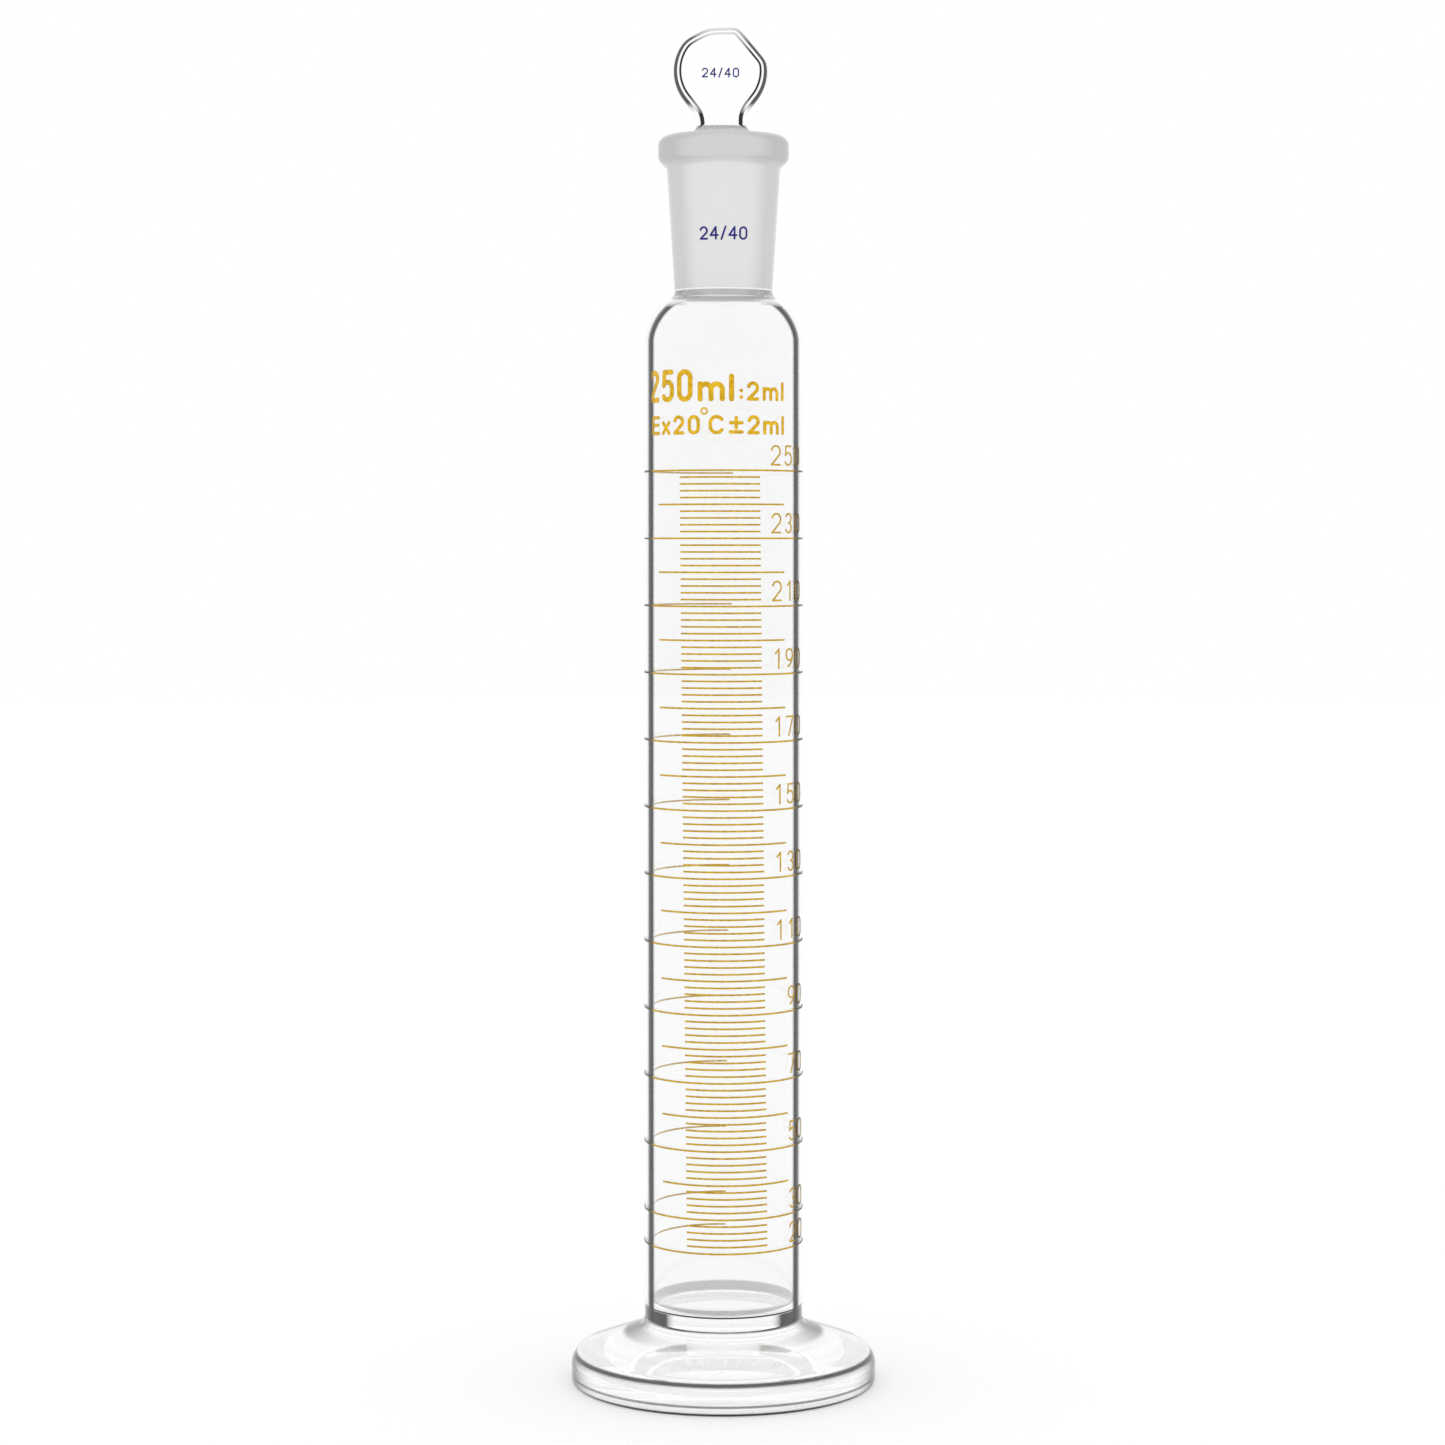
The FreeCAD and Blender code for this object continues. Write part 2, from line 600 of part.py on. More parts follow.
def make_numeral(millilitres):
    """The number above a ring line, its last digit centred near the tube's right side."""
    radius = worked_out(TUBE_RADIUS)
    line = mark_height(millilitres)
    base = worked_out(f"{line} + numeral_lift")
    pen = Pen(worked_out("numeral_height"), worked_out("numeral_stroke"), 0.0)
    step = math.degrees(worked_out("numeral_pitch") / radius)
    last = worked_out(f"numeral_end + {skew_turn(line)}") - math.degrees(pen.width("0") / 2 / radius)
    shell = tube_shell()
    pieces = [
        wrap_glyph(character, pen, radius, last - back * step, base, shell)
        for back, character in enumerate(reversed(str(millilitres)))
    ]
    return new_feature(f"numeral_{millilitres}", Part.makeCompound(pieces))


def make_capacity_legend():
    """Capacity in large, narrow figures, its unit, then the step in small print."""
    gap = worked_out("print_gap")
    stroke = worked_out("capacity_stroke")
    runs = [
        (f"{CAPACITY}", Pen(worked_out("capacity_height"), stroke, gap, worked_out("capacity_narrowing"))),
        ("ml", Pen(worked_out("millilitre_height"), stroke, gap)),
        (f":{worked_out('unit_step_ml'):.0f}ml", small_print()),
    ]
    return legend("capacity_legend", runs, "capacity_run_gap", "capacity_lift", "capacity_turn")


def make_tolerance_legend():
    """Delivery temperature and tolerance, one line below, with a fine ring for the degree sign."""
    degree = Pen(worked_out("small_print_height"), worked_out("degree_stroke"), 0.0)
    runs = [("Ex20", small_print()), ("o", degree), ("C+2ml", small_print())]
    return legend("tolerance_legend", runs, "degree_run_gap", "tolerance_lift", "tolerance_turn")


def small_print():
    return Pen(worked_out("small_print_height"), worked_out("small_print_stroke"), worked_out("print_gap"))


def legend(name, runs, run_gap, lift, turn):
    """Runs of text in their own pens on one line, at a lift above the top mark, turned to the left."""
    radius = worked_out(TUBE_RADIUS)
    base = worked_out(f"{TOP_MARK_Z} + {lift}")
    between = worked_out(run_gap)
    shell = tube_shell()
    widths = [pen.places(text)[1] for text, pen in runs]
    start = -(sum(widths) + between * (len(runs) - 1)) / 2
    pieces = []
    for (text, pen), width in zip(runs, widths):
        middle = math.degrees((start + width / 2) / radius) - worked_out(turn)
        pieces += wrap_text(text, pen, radius, middle, base, shell)
        start += width + between
    return new_feature(name, Part.makeCompound(pieces))


def joint_size():
    return f"{worked_out('joint_diameter'):.0f}/{worked_out('joint_length'):.0f}"


def make_joint_mark():
    """The joint's size on the outside of the socket, which is slightly conical."""
    pen = Pen(worked_out("joint_text_height"), worked_out("joint_text_stroke"), worked_out("joint_text_gap"))
    film = worked_out("enamel_film")
    low, high = worked_out(NECK_TOP_Z), worked_out(BEAD_Z)
    low_radius, high_radius = worked_out(NECK_RADIUS), worked_out(SOCKET_RADIUS)
    place = FreeCAD.Vector(0, 0, low)
    outer = Part.makeCone(low_radius + film, high_radius + film, high - low, place)
    shell = outer.cut(Part.makeCone(low_radius, high_radius, high - low, place))
    base = worked_out(f"{GROUND_Z} + joint_text_lift")
    radius = low_radius + (high_radius - low_radius) * (base - low) / (high - low)
    pieces = wrap_text(joint_size(), pen, radius, 0.0, base, shell)
    return new_feature("joint_size_mark", Part.makeCompound(pieces))


def make_head_mark():
    """The joint's size again, small, on the flat front of the stopper's head."""
    pen = Pen(worked_out("head_text_height"), worked_out("head_text_stroke"), worked_out("head_text_gap"))
    film = worked_out("enamel_film")
    face = worked_out("head_thickness / 2")
    base = worked_out(HEAD_Z) - pen.height / 2
    middles, width = pen.places(joint_size())
    pieces = []
    for character, middle in zip(joint_size(), middles):
        block = glyph_block(character, pen, film)
        across = middle - width / 2 - worked_out("head_offset")
        block.translate(FreeCAD.Vector(across, -face, base))
        pieces.append(block)
    return new_feature("stopper_size_mark", Part.makeCompound(pieces))


def unit_marks():
    """Every second millilitre between the lowest and highest marks, without the tens."""
    step = worked_out("unit_step_ml")
    first = worked_out("first_mark_ml")
    count = round((worked_out("capacity_ml") - first) / step)
    marks = [first + step * number for number in range(1, count)]
    return [mark for mark in marks if mark % 10 > 1e-6]


pieces = [make_foot(), make_tube(), make_socket(), make_plug(), make_head()]
pieces += [make_ring(mark) for mark in RING_MARKS]
pieces += [make_numeral(mark) for mark in RING_MARKS]
pieces.append(short_lines("marks_10ml", TEN_MARKS, "ten_arc"))
pieces.append(short_lines("marks_2ml", unit_marks(), "unit_arc"))
pieces += [make_capacity_legend(), make_tolerance_legend(), make_joint_mark(), make_head_mark()]
doc.recompute()

for item in doc.Objects:
    if "Invalid" in item.State or "Error" in item.State:
        raise RuntimeError(f"{item.Name} failed: {item.State}")
for piece in pieces:
    if piece.Shape.isNull() or not piece.Shape.isValid():
        raise RuntimeError(f"{piece.Label} has no valid shape")

os.makedirs("parts", exist_ok=True)
for piece in pieces:
    piece.Shape.exportStep(os.path.join("parts", f"{piece.Label}.step"))
    print(piece.Label, len(piece.Shape.Solids), round(piece.Shape.Volume, 3))
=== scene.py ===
"""Looks of a stoppered measuring cylinder: clear glass, ground glass and fired enamel."""

import logging
import math
from dataclasses import dataclass, field
from enum import Enum

import bmesh
import bpy
from bmesh.types import BMesh, BMFace, BMVert
from bpy.types import Material, Node, NodeSocket, NodeTree, Object
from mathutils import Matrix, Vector


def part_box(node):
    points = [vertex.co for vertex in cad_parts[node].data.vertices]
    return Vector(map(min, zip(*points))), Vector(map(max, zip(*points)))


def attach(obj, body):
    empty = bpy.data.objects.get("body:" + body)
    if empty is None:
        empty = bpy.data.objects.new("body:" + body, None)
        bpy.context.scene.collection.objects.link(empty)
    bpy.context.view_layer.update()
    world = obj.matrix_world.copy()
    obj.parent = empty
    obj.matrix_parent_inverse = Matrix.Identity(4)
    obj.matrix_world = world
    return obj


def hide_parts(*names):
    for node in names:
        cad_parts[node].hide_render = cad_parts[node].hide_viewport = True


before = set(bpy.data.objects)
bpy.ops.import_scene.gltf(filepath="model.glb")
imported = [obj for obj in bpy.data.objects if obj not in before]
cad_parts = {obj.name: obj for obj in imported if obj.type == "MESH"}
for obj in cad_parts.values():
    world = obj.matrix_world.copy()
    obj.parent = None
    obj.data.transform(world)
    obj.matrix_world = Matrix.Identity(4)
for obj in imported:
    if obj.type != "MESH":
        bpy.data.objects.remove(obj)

LOG = logging.getLogger("measuring_cylinder")
MM = 0.001
SPIN_STEPS = 192
AREA_WEIGHT = 80
GLASS_IOR = 1.473
FAR_BOUNCES = 32
HALF_A_COUNT = 0.5
MIX_COLOURS = slice(6, 8)
MIX_RESULT = 2
SLIVER = 1e-7
JUST_ABOVE = 1e-6

# Radii that two neighbouring pieces share.
NECK_RADIUS = 12.9 * MM
THROAT_RADIUS = 10.0 * MM
STEM_FOOT_RADIUS = 10.2 * MM
HEAD_EDGE_ROUND = 2.1 * MM


class Surface(Enum):
    """How a stretch of glass is finished; the value is its material slot on the piece."""

    POLISHED = 0
    WELD = 1
    GROUND = 2


class Body(Enum):
    """The bodies of the frame that the pieces ride on."""

    CYLINDER = "cylinder"
    STOPPER_LIFT = "stopper_lift"
    STOPPER_TWIST = "stopper_twist"


@dataclass(frozen=True)
class Corner:
    """A corner of a turned outline.

    Args:
        radius: distance from the axis, in metres.
        height: height above the bench, in metres.
        rounding: radius of the rounding at the corner, in metres.
        steps: number of segments in the rounding.
        after: finish of the stretch that runs on from this corner.
    """

    radius: float
    height: float
    rounding: float = 0.0
    steps: int = 8
    after: Surface = Surface.POLISHED

    @property
    def place(self) -> Vector:
        """The corner in the plane that the outline is drawn in."""
        return Vector((self.radius, 0.0, self.height))


# Node trees


class Nodes:
    """A short way to add and join nodes in one tree."""

    def __init__(self, tree: NodeTree) -> None:
        """Keep the tree that nodes are added to."""
        self.tree = tree

    def add(self, kind: str, **settings: object) -> Node:
        """Add a node.

        Args:
            kind: the node's type name, without the ShaderNode prefix.
            **settings: properties of the node, such as operation.

        Returns:
            The new node.
        """
        prefix = "" if kind.startswith("NodeGroup") else "ShaderNode"
        node = self.tree.nodes.new(prefix + kind)
        for name, value in settings.items():
            setattr(node, name, value)
        return node

    def join(self, source: NodeSocket, target: NodeSocket) -> None:
        """Link one socket to another."""
        self.tree.links.new(source, target)

    def turned(self) -> NodeSocket:
        """How far the surface is turned away, from 0 to 1."""
        return self.add("LayerWeight").outputs["Facing"]

    def place(self) -> dict[str, NodeSocket]:
        """The X, Y and Z of the shaded point, in metres."""
        parts = self.add("SeparateXYZ")
        self.join(self.add("TexCoord").outputs["Object"], parts.inputs[0])
        return {axis: parts.outputs[axis] for axis in "XYZ"}

    def maths(self, operation: str, first: object, second: object = None) -> NodeSocket:
        """Add a Math node.

        Args:
            operation: the node's operation, such as MULTIPLY.
            first: a socket or a number.
            second: a socket or a number, where the operation takes two.

        Returns:
            The node's output.
        """
        node = self.add("Math", operation=operation)
        for socket, value in zip(node.inputs, (first, second)):
            if isinstance(value, NodeSocket):
                self.join(value, socket)
            elif value is not None:
                socket.default_value = value
        return node.outputs[0]

    def ramp(self, value: NodeSocket, span: tuple[float, float], ends: tuple) -> NodeSocket:
        """Ease from one level to another while a value crosses a span.

        Args:
            value: the socket that is followed.
            span: where the change starts and stops.
            ends: the levels below and above the span, as sockets or numbers.

        Returns:
            The eased level's socket.
        """
        node = self.add("MapRange", interpolation_type="SMOOTHSTEP")
        self.join(value, node.inputs["Value"])
        node.inputs["From Min"].default_value, node.inputs["From Max"].default_value = span
        for name, end in zip(("To Min", "To Max"), ends):
            if isinstance(end, NodeSocket):
                self.join(end, node.inputs[name])
            else:
                node.inputs[name].default_value = end
        return node.outputs["Result"]

    def product(self, *factors: NodeSocket) -> NodeSocket:
        """Multiply two or more sockets together."""
        total = factors[0]
        for factor in factors[1:]:
            total = self.maths("MULTIPLY", total, factor)
        return total

    def grain(self, scale: float, detail: float, contrast: float) -> NodeSocket:
        """Place the grain group in a material.

        Args:
            scale: waves per metre.
            detail: octaves of finer noise.
            contrast: spread about the middle.

        Returns:
            The group's Grain output.
        """
        node = self.add("Group")
        node.node_tree = GRAIN
        node.inputs["Scale"].default_value = scale
        node.inputs["Detail"].default_value = detail
        node.inputs["Contrast"].default_value = contrast
        return node.outputs["Grain"]

    def shaded(self, colour: NodeSocket, light: NodeSocket) -> NodeSocket:
        """Darken a colour.

        Args:
            colour: the colour's socket.
            light: share of it that is kept.

        Returns:
            The darkened colour's socket.
        """
        scale = self.add("VectorMath", operation="SCALE")
        self.join(colour, scale.inputs[0])
        self.join(light, scale.inputs["Scale"])
        return scale.outputs["Vector"]

    def radius_and_height(self) -> tuple[NodeSocket, NodeSocket]:
        """The distance from the Z axis and the height of the shaded point, in metres."""
        place = self.place()
        across = self.add("CombineXYZ")
        self.join(place["X"], across.inputs["X"])
        self.join(place["Y"], across.inputs["Y"])
        length = self.add("VectorMath", operation="LENGTH")
        self.join(across.outputs[0], length.inputs[0])
        return length.outputs["Value"], place["Z"]

    def tinted(self, factor: NodeSocket, dark: tuple, light: tuple) -> NodeSocket:
        """Mix two colours by a factor.

        Args:
            factor: socket from 0 to 1.
            dark: colour at 0.
            light: colour at 1.

        Returns:
            The mixed colour's socket.
        """
        mix = self.add("Mix", data_type="RGBA")
        self.join(factor, mix.inputs["Factor"])
        for socket, colour in zip(mix.inputs[MIX_COLOURS], (dark, light)):
            socket.default_value = (*colour, 1.0)
        return mix.outputs[MIX_RESULT]

    def roughen(self, shader: Node, noise: NodeSocket, ends: tuple[float, float]) -> None:
        """Let a noise vary a shader's roughness.

        Args:
            shader: the Principled BSDF.
            noise: socket from 0 to 1.
            ends: the roughness at 0 and at 1.
        """
        spread = self.add("MapRange")
        spread.inputs["To Min"].default_value, spread.inputs["To Max"].default_value = ends
        self.join(noise, spread.inputs["Value"])
        self.join(spread.outputs["Result"], shader.inputs["Roughness"])

    def bumped(self, height: NodeSocket, distance: float, strength: float = 1.0) -> NodeSocket:
        """Turn a height into a normal.

        Args:
            height: socket from 0 to 1.
            distance: height of a full step, in metres.
            strength: share of the effect that is kept.

        Returns:
            The Bump node's Normal output.
        """
        bump = self.add("Bump")
        bump.inputs["Distance"].default_value = distance
        bump.inputs["Strength"].default_value = strength
        self.join(height, bump.inputs["Height"])
        return bump.outputs["Normal"]


def fresh_material(name: str) -> tuple[Material, Nodes, Node]:
    """Make an empty node material with a Principled BSDF joined to its output.

    Args:
        name: the material's name.

    Returns:
        The material, its node helper and the Principled BSDF.
    """
    material = bpy.data.materials.new(name)
    material.use_nodes = True
    material.node_tree.nodes.clear()
    nodes = Nodes(material.node_tree)
    output = nodes.add("OutputMaterial")
    shader = nodes.add("BsdfPrincipled")
    nodes.join(shader.outputs["BSDF"], output.inputs["Surface"])
    return material, nodes, shader


def make_grain_group() -> NodeTree:
    """A node group of fine noise: a value from 0 to 1 at a scale, sharpened by contrast.

    Returns:
        The group, with inputs Scale, Detail and Contrast, and output Grain.
    """
    group = bpy.data.node_groups.new("fine_grain", "ShaderNodeTree")
    face = group.interface
    for name in ("Scale", "Detail", "Contrast"):
        face.new_socket(name, in_out="INPUT", socket_type="NodeSocketFloat")
    face.new_socket("Grain", in_out="OUTPUT", socket_type="NodeSocketFloat")
    nodes = Nodes(group)
    given = nodes.add("NodeGroupInput")
    result = nodes.add("NodeGroupOutput")
    place = nodes.add("TexCoord")
    noise = nodes.add("TexNoise", noise_dimensions="3D")
    nodes.join(place.outputs["Object"], noise.inputs["Vector"])
    nodes.join(given.outputs["Scale"], noise.inputs["Scale"])
    nodes.join(given.outputs["Detail"], noise.inputs["Detail"])
    centred = nodes.maths("SUBTRACT", noise.outputs["Fac"], 0.5)
    spread = nodes.maths("MULTIPLY", centred, given.outputs["Contrast"])
    grain = nodes.maths("ADD", spread, 0.5)
    grain.node.use_clamp = True
    nodes.join(grain, result.inputs["Grain"])
    return group


def make_band_group() -> NodeTree:
    """A node group of a band of painted shade: the light that is left while a value crosses the
    band.

    Returns:
        The group, with inputs Value, Start, Full, Fade, End and Left, and output Light.
    """
    group = bpy.data.node_groups.new("dark_band", "ShaderNodeTree")
    face = group.interface
    for name in ("Value", "Start", "Full", "Fade", "End", "Left"):
        face.new_socket(name, in_out="INPUT", socket_type="NodeSocketFloat")
    face.new_socket("Light", in_out="OUTPUT", socket_type="NodeSocketFloat")
    nodes = Nodes(group)
    given = nodes.add("NodeGroupInput").outputs
    result = nodes.add("NodeGroupOutput")
    sides = []
    for start, end in (("Start", "Full"), ("End", "Fade")):
        side = nodes.add("MapRange", interpolation_type="SMOOTHSTEP")
        nodes.join(given["Value"], side.inputs["Value"])
        nodes.join(given[start], side.inputs["From Min"])
        nodes.join(given[end], side.inputs["From Max"])
        sides.append(side.outputs["Result"])
    inside = nodes.maths("MULTIPLY", *sides)
    lost = nodes.maths("SUBTRACT", 1.0, given["Left"])
    light = nodes.maths("SUBTRACT", 1.0, nodes.maths("MULTIPLY", inside, lost))
    nodes.join(light, result.inputs["Light"])
    return group


GRAIN = make_grain_group()
BAND = make_band_group()


@dataclass(frozen=True)
class Band:
    """A band of painted shade: where it starts, is full, fades and ends, and the share of light it
    leaves.
    """

    start: float
    full: float
    fade: float
    end: float
    left: float

    def place(self, nodes: Nodes, value: NodeSocket) -> NodeSocket:
        """Place the band group in a material.

        Args:
            nodes: helper of the material's tree.
            value: the socket that crosses the band.

        Returns:
            The group's Light output.
        """
        node = nodes.add("Group")
        node.node_tree = BAND
        nodes.join(value, node.inputs["Value"])
        for name in ("start", "full", "fade", "end", "left"):
            node.inputs[name.title()].default_value = getattr(self, name)
        return node.outputs["Light"]


# Finishes


@dataclass(frozen=True)
class ClearGlass:
    """Drawn and pressed borosilicate glass with faint hand-working ripples and painted shade along
    its outlines.

    Args:
        name: the material's name.
        tint: colour that light takes at each surface.
        streak_lift: how much paler the streaks are.
        streak_scale: streaks per metre.
        ripple_scale: ripples per metre.
        ripple_height: height of the ripples, in metres.
        outline: band of painted shade by how far the surface is turned away, from 0 to 1.
        rim: the thin line of painted shade at the very outline.
        held_bounces: number of bounces after which light counts as trapped in the glass.
        held_light: brightness that stands in for trapped light.
    """

    name: str = "clear_glass"
    tint: tuple[float, float, float] = (0.985, 0.992, 0.988)
    streak_lift: float = 0.008
    streak_scale: float = 180.0
    ripple_scale: float = 60.0
    ripple_height: float = 0.00003
    outline: Band = Band(0.5, 0.57, 0.67, 0.8, 0.0)
    rim: Band = Band(0.88, 0.93, 2.0, 3.0, 0.0)
    held_bounces: float = 8.0
    held_light: float = 0.85

    def build(self) -> Material:
        """Make the material."""
        material, nodes, shader = fresh_material(self.name)
        ripple = nodes.grain(self.ripple_scale, detail=1.0, contrast=1.2)
        nodes.join(nodes.bumped(ripple, self.ripple_height), shader.inputs["Normal"])
        streak = nodes.grain(self.streak_scale, detail=2.0, contrast=1.0)
        pale = tuple(min(1.0, channel + self.streak_lift) for channel in self.tint)
        path = nodes.add("LightPath").outputs
        # painted shade: the glass's dark lines darken only what the camera sees directly
        seen = nodes.ramp(path["Is Camera Ray"], (0.0, 1.0), (1.0, self.lines(nodes)))
        light = nodes.maths("MULTIPLY", seen, self.all_rays_shade(nodes))
        colour = nodes.shaded(nodes.tinted(streak, self.tint, pale), light)
        nodes.join(colour, shader.inputs["Base Color"])
        shader.inputs["Transmission Weight"].default_value = 1.0
        shader.inputs["Roughness"].default_value = 0.0
        shader.inputs["IOR"].default_value = GLASS_IOR
        held = nodes.maths("COMPARE", path["Ray Depth"], self.held_bounces)
        held.node.inputs[2].default_value = HALF_A_COUNT
        nodes.join(held, shader.inputs["Emission Color"])
        shader.inputs["Emission Strength"].default_value = self.held_light
        return material

    def lines(self, nodes: Nodes) -> NodeSocket:
        """The light that the painted shade of the glass's dark lines leaves.

        Args:
            nodes: helper of the material's tree.

        Returns:
            The light's socket.
        """
        turned = nodes.turned()
        return nodes.product(self.outline.place(nodes, turned), self.rim.place(nodes, turned))

    def all_rays_shade(self, nodes: Nodes) -> NodeSocket | float:
        """The light that painted shade leaves, whether the place is seen through glass or not."""
        return 1.0


@dataclass(frozen=True)
class TubeGlass(ClearGlass):
    """The tube's glass, with painted shade at the sides of its solid floor, in a line above it and
    in the rounding between wall and floor.

    Args:
        floor: band of heights that the solid floor takes up, in metres.
        floor_sides: band of painted shade by how far the surface is turned away, beside the floor.
        floor_line: band of heights of the painted dark line above it, in metres.
        neck: heights between which the outline fades into the neck, in metres.
        neck_light: the light that is left at the neck.
        corner: band of heights of the painted shade in the rounding between wall and floor, in
            metres.
        bore: radii between which the inside ends, in metres.
    """

    name: str = "tube_glass"
    tint: tuple[float, float, float] = (0.955, 0.958, 0.956)
    floor: Band = Band(0.0166, 0.0169, 0.0203, 0.0207, 0.0)
    floor_sides: Band = Band(0.22, 0.34, 0.9, 1.0, 0.005)
    floor_line: Band = Band(0.0205, 0.0206, 0.0209, 0.0210, 0.0)
    neck: tuple[float, float] = (0.2822, 0.2838)
    neck_light: float = 0.75
    corner: Band = Band(0.0198, 0.0204, 0.0222, 0.0228, 0.3)
    bore: tuple[float, float] = (0.0191, 0.0192)

    def lines(self, nodes: Nodes) -> NodeSocket:
        """The light that the painted shade of the outline, the floor's sides and the line leaves.
        """
        height = nodes.place()["Z"]
        above = self.floor.place(nodes, height)
        # painted shade at the sides of the solid floor, and in a dark line above it
        sides = nodes.ramp(above, (0.0, 1.0), (self.floor_sides.place(nodes, nodes.turned()), 1.0))
        line = self.floor_line.place(nodes, height)
        faint = nodes.ramp(height, self.neck, (0.0, self.neck_light))
        outline = nodes.maths("MAXIMUM", super().lines(nodes), faint)
        return nodes.product(sides, line, outline)

    def all_rays_shade(self, nodes: Nodes) -> NodeSocket | float:
        """The light that the painted shade in the rounding between wall and floor leaves, on every
        ray.
        """
        radius, height = nodes.radius_and_height()
        # painted shade in the rounding between wall and floor, on every ray
        return nodes.ramp(radius, self.bore, (self.corner.place(nodes, height), 1.0))


@dataclass(frozen=True)
class FootGlass(ClearGlass):
    """The foot's glass, with painted shade: dark lines round its edge, dark sides, and faint rings
    on its slope.

    Args:
        slope: band of heights of the sloping top, whose sides stay clear, in metres.
        sides: band of painted shade by how far the surface is turned away, at the edge and the
            collar.
        top_line: band of radii of the painted dark line round the top of the edge, in metres.
        low_line: band of heights of the painted dark line round the bottom, in metres.
        edge_line: band of heights of the thinner painted dark line above it, in metres.
        ring_step: distance between the rings of painted shade on the slope, in metres.
        ring_shade: share of light that a ring of painted shade takes.
    """

    name: str = "foot_glass"
    outline: Band = Band(0.86, 0.94, 2.0, 3.0, 0.04)
    slope: Band = Band(0.0078, 0.0085, 0.0125, 0.0135, 0.0)
    sides: Band = Band(0.45, 0.8, 2.0, 3.0, 0.02)
    top_line: Band = Band(0.0383, 0.0388, 0.0392, 0.0397, 0.01)
    low_line: Band = Band(-2.0, -1.0, 0.0007, 0.0013, 0.0)
    edge_line: Band = Band(0.0021, 0.0023, 0.0027, 0.0030, 0.1)
    ring_step: float = 4.2 * MM
    ring_shade: float = 0.1

    def lines(self, nodes: Nodes) -> NodeSocket:
        """The light that the painted shade of the lines, the sides and the rings leaves."""
        radius, height = nodes.radius_and_height()
        sides = self.sides.place(nodes, nodes.turned())
        beside = nodes.ramp(self.slope.place(nodes, height), (0.0, 1.0), (1.0, sides))
        top = self.top_line.place(nodes, radius)
        # painted shade in faint rings across the slope, by distance from the axis
        wave = nodes.maths("SINE", nodes.maths("MULTIPLY", radius, math.tau / self.ring_step))
        rings = nodes.ramp(wave, (-1.0, 1.0), (1.0 - self.ring_shade, 1.0))
        low = self.low_line.place(nodes, height)
        edge = self.edge_line.place(nodes, height)
        return nodes.product(beside, top, rings, low, edge, super().lines(nodes))


@dataclass(frozen=True)
class HeadGlass(ClearGlass):
    """The pressed head's glass: painted shade on its round edge shows as a dark band and a dark
    line, with a bright band left between them.

    Args:
        half: half of the head's thickness, in metres.
        edge_round: radius of its round edge, in metres.
        middle: the disc's middle across, in metres.
        disc_foot: heights between which the outer band ends, in metres.
        side: distances from the middle between which the lines reach full strength, in metres.
        faint: the least light that the painted shade leaves near the middle.
        outer: band of painted shade at the disc's very edge, by how far round its edge, from 0 to
            1.
        inner: band of painted shade where the disc's edge starts to round.
        stem: the same down the stem's sides, where it is wider.
        stem_rim: band of painted shade at the stem's very edge.
    """

    name: str = "head_glass"
    half: float = 2.44 * MM
    edge_round: float = HEAD_EDGE_ROUND
    middle: float = -0.8 * MM
    disc_foot: tuple[float, float] = (0.3335, 0.3365)
    side: tuple[float, float] = (0.002, 0.008)
    faint: float = 0.5
    outer: Band = Band(-0.2, -0.1, 0.8, 0.87, 0.003)
    inner: Band = Band(0.94, 0.96, 0.996, 0.9999, 0.0)
    stem: Band = Band(0.8, 0.87, 0.998, 0.9999, 0.0)
    stem_rim: Band = Band(-2.0, -1.0, 0.03, 0.2, 0.2)

    def lines(self, nodes: Nodes) -> NodeSocket:
        """The light that the painted shade of the edge's bands leaves."""
        place = nodes.place()
        depth = nodes.maths("ABSOLUTE", place["Y"])
        over_flat = nodes.maths("SUBTRACT", depth, self.half - self.edge_round)
        share = nodes.maths("DIVIDE", over_flat, self.edge_round)
        aside = nodes.maths("ABSOLUTE", nodes.maths("SUBTRACT", place["X"], self.middle))
        least = nodes.ramp(aside, self.side, (self.faint, 0.0))
        # painted shade in bands round the disc's edge and down the stem's sides
        disc = nodes.product(self.outer.place(nodes, share), self.inner.place(nodes, share))
        stem = nodes.product(self.stem.place(nodes, share), self.stem_rim.place(nodes, share))
        return nodes.ramp(place["Z"], self.disc_foot, (stem, nodes.maths("MAXIMUM", disc, least)))


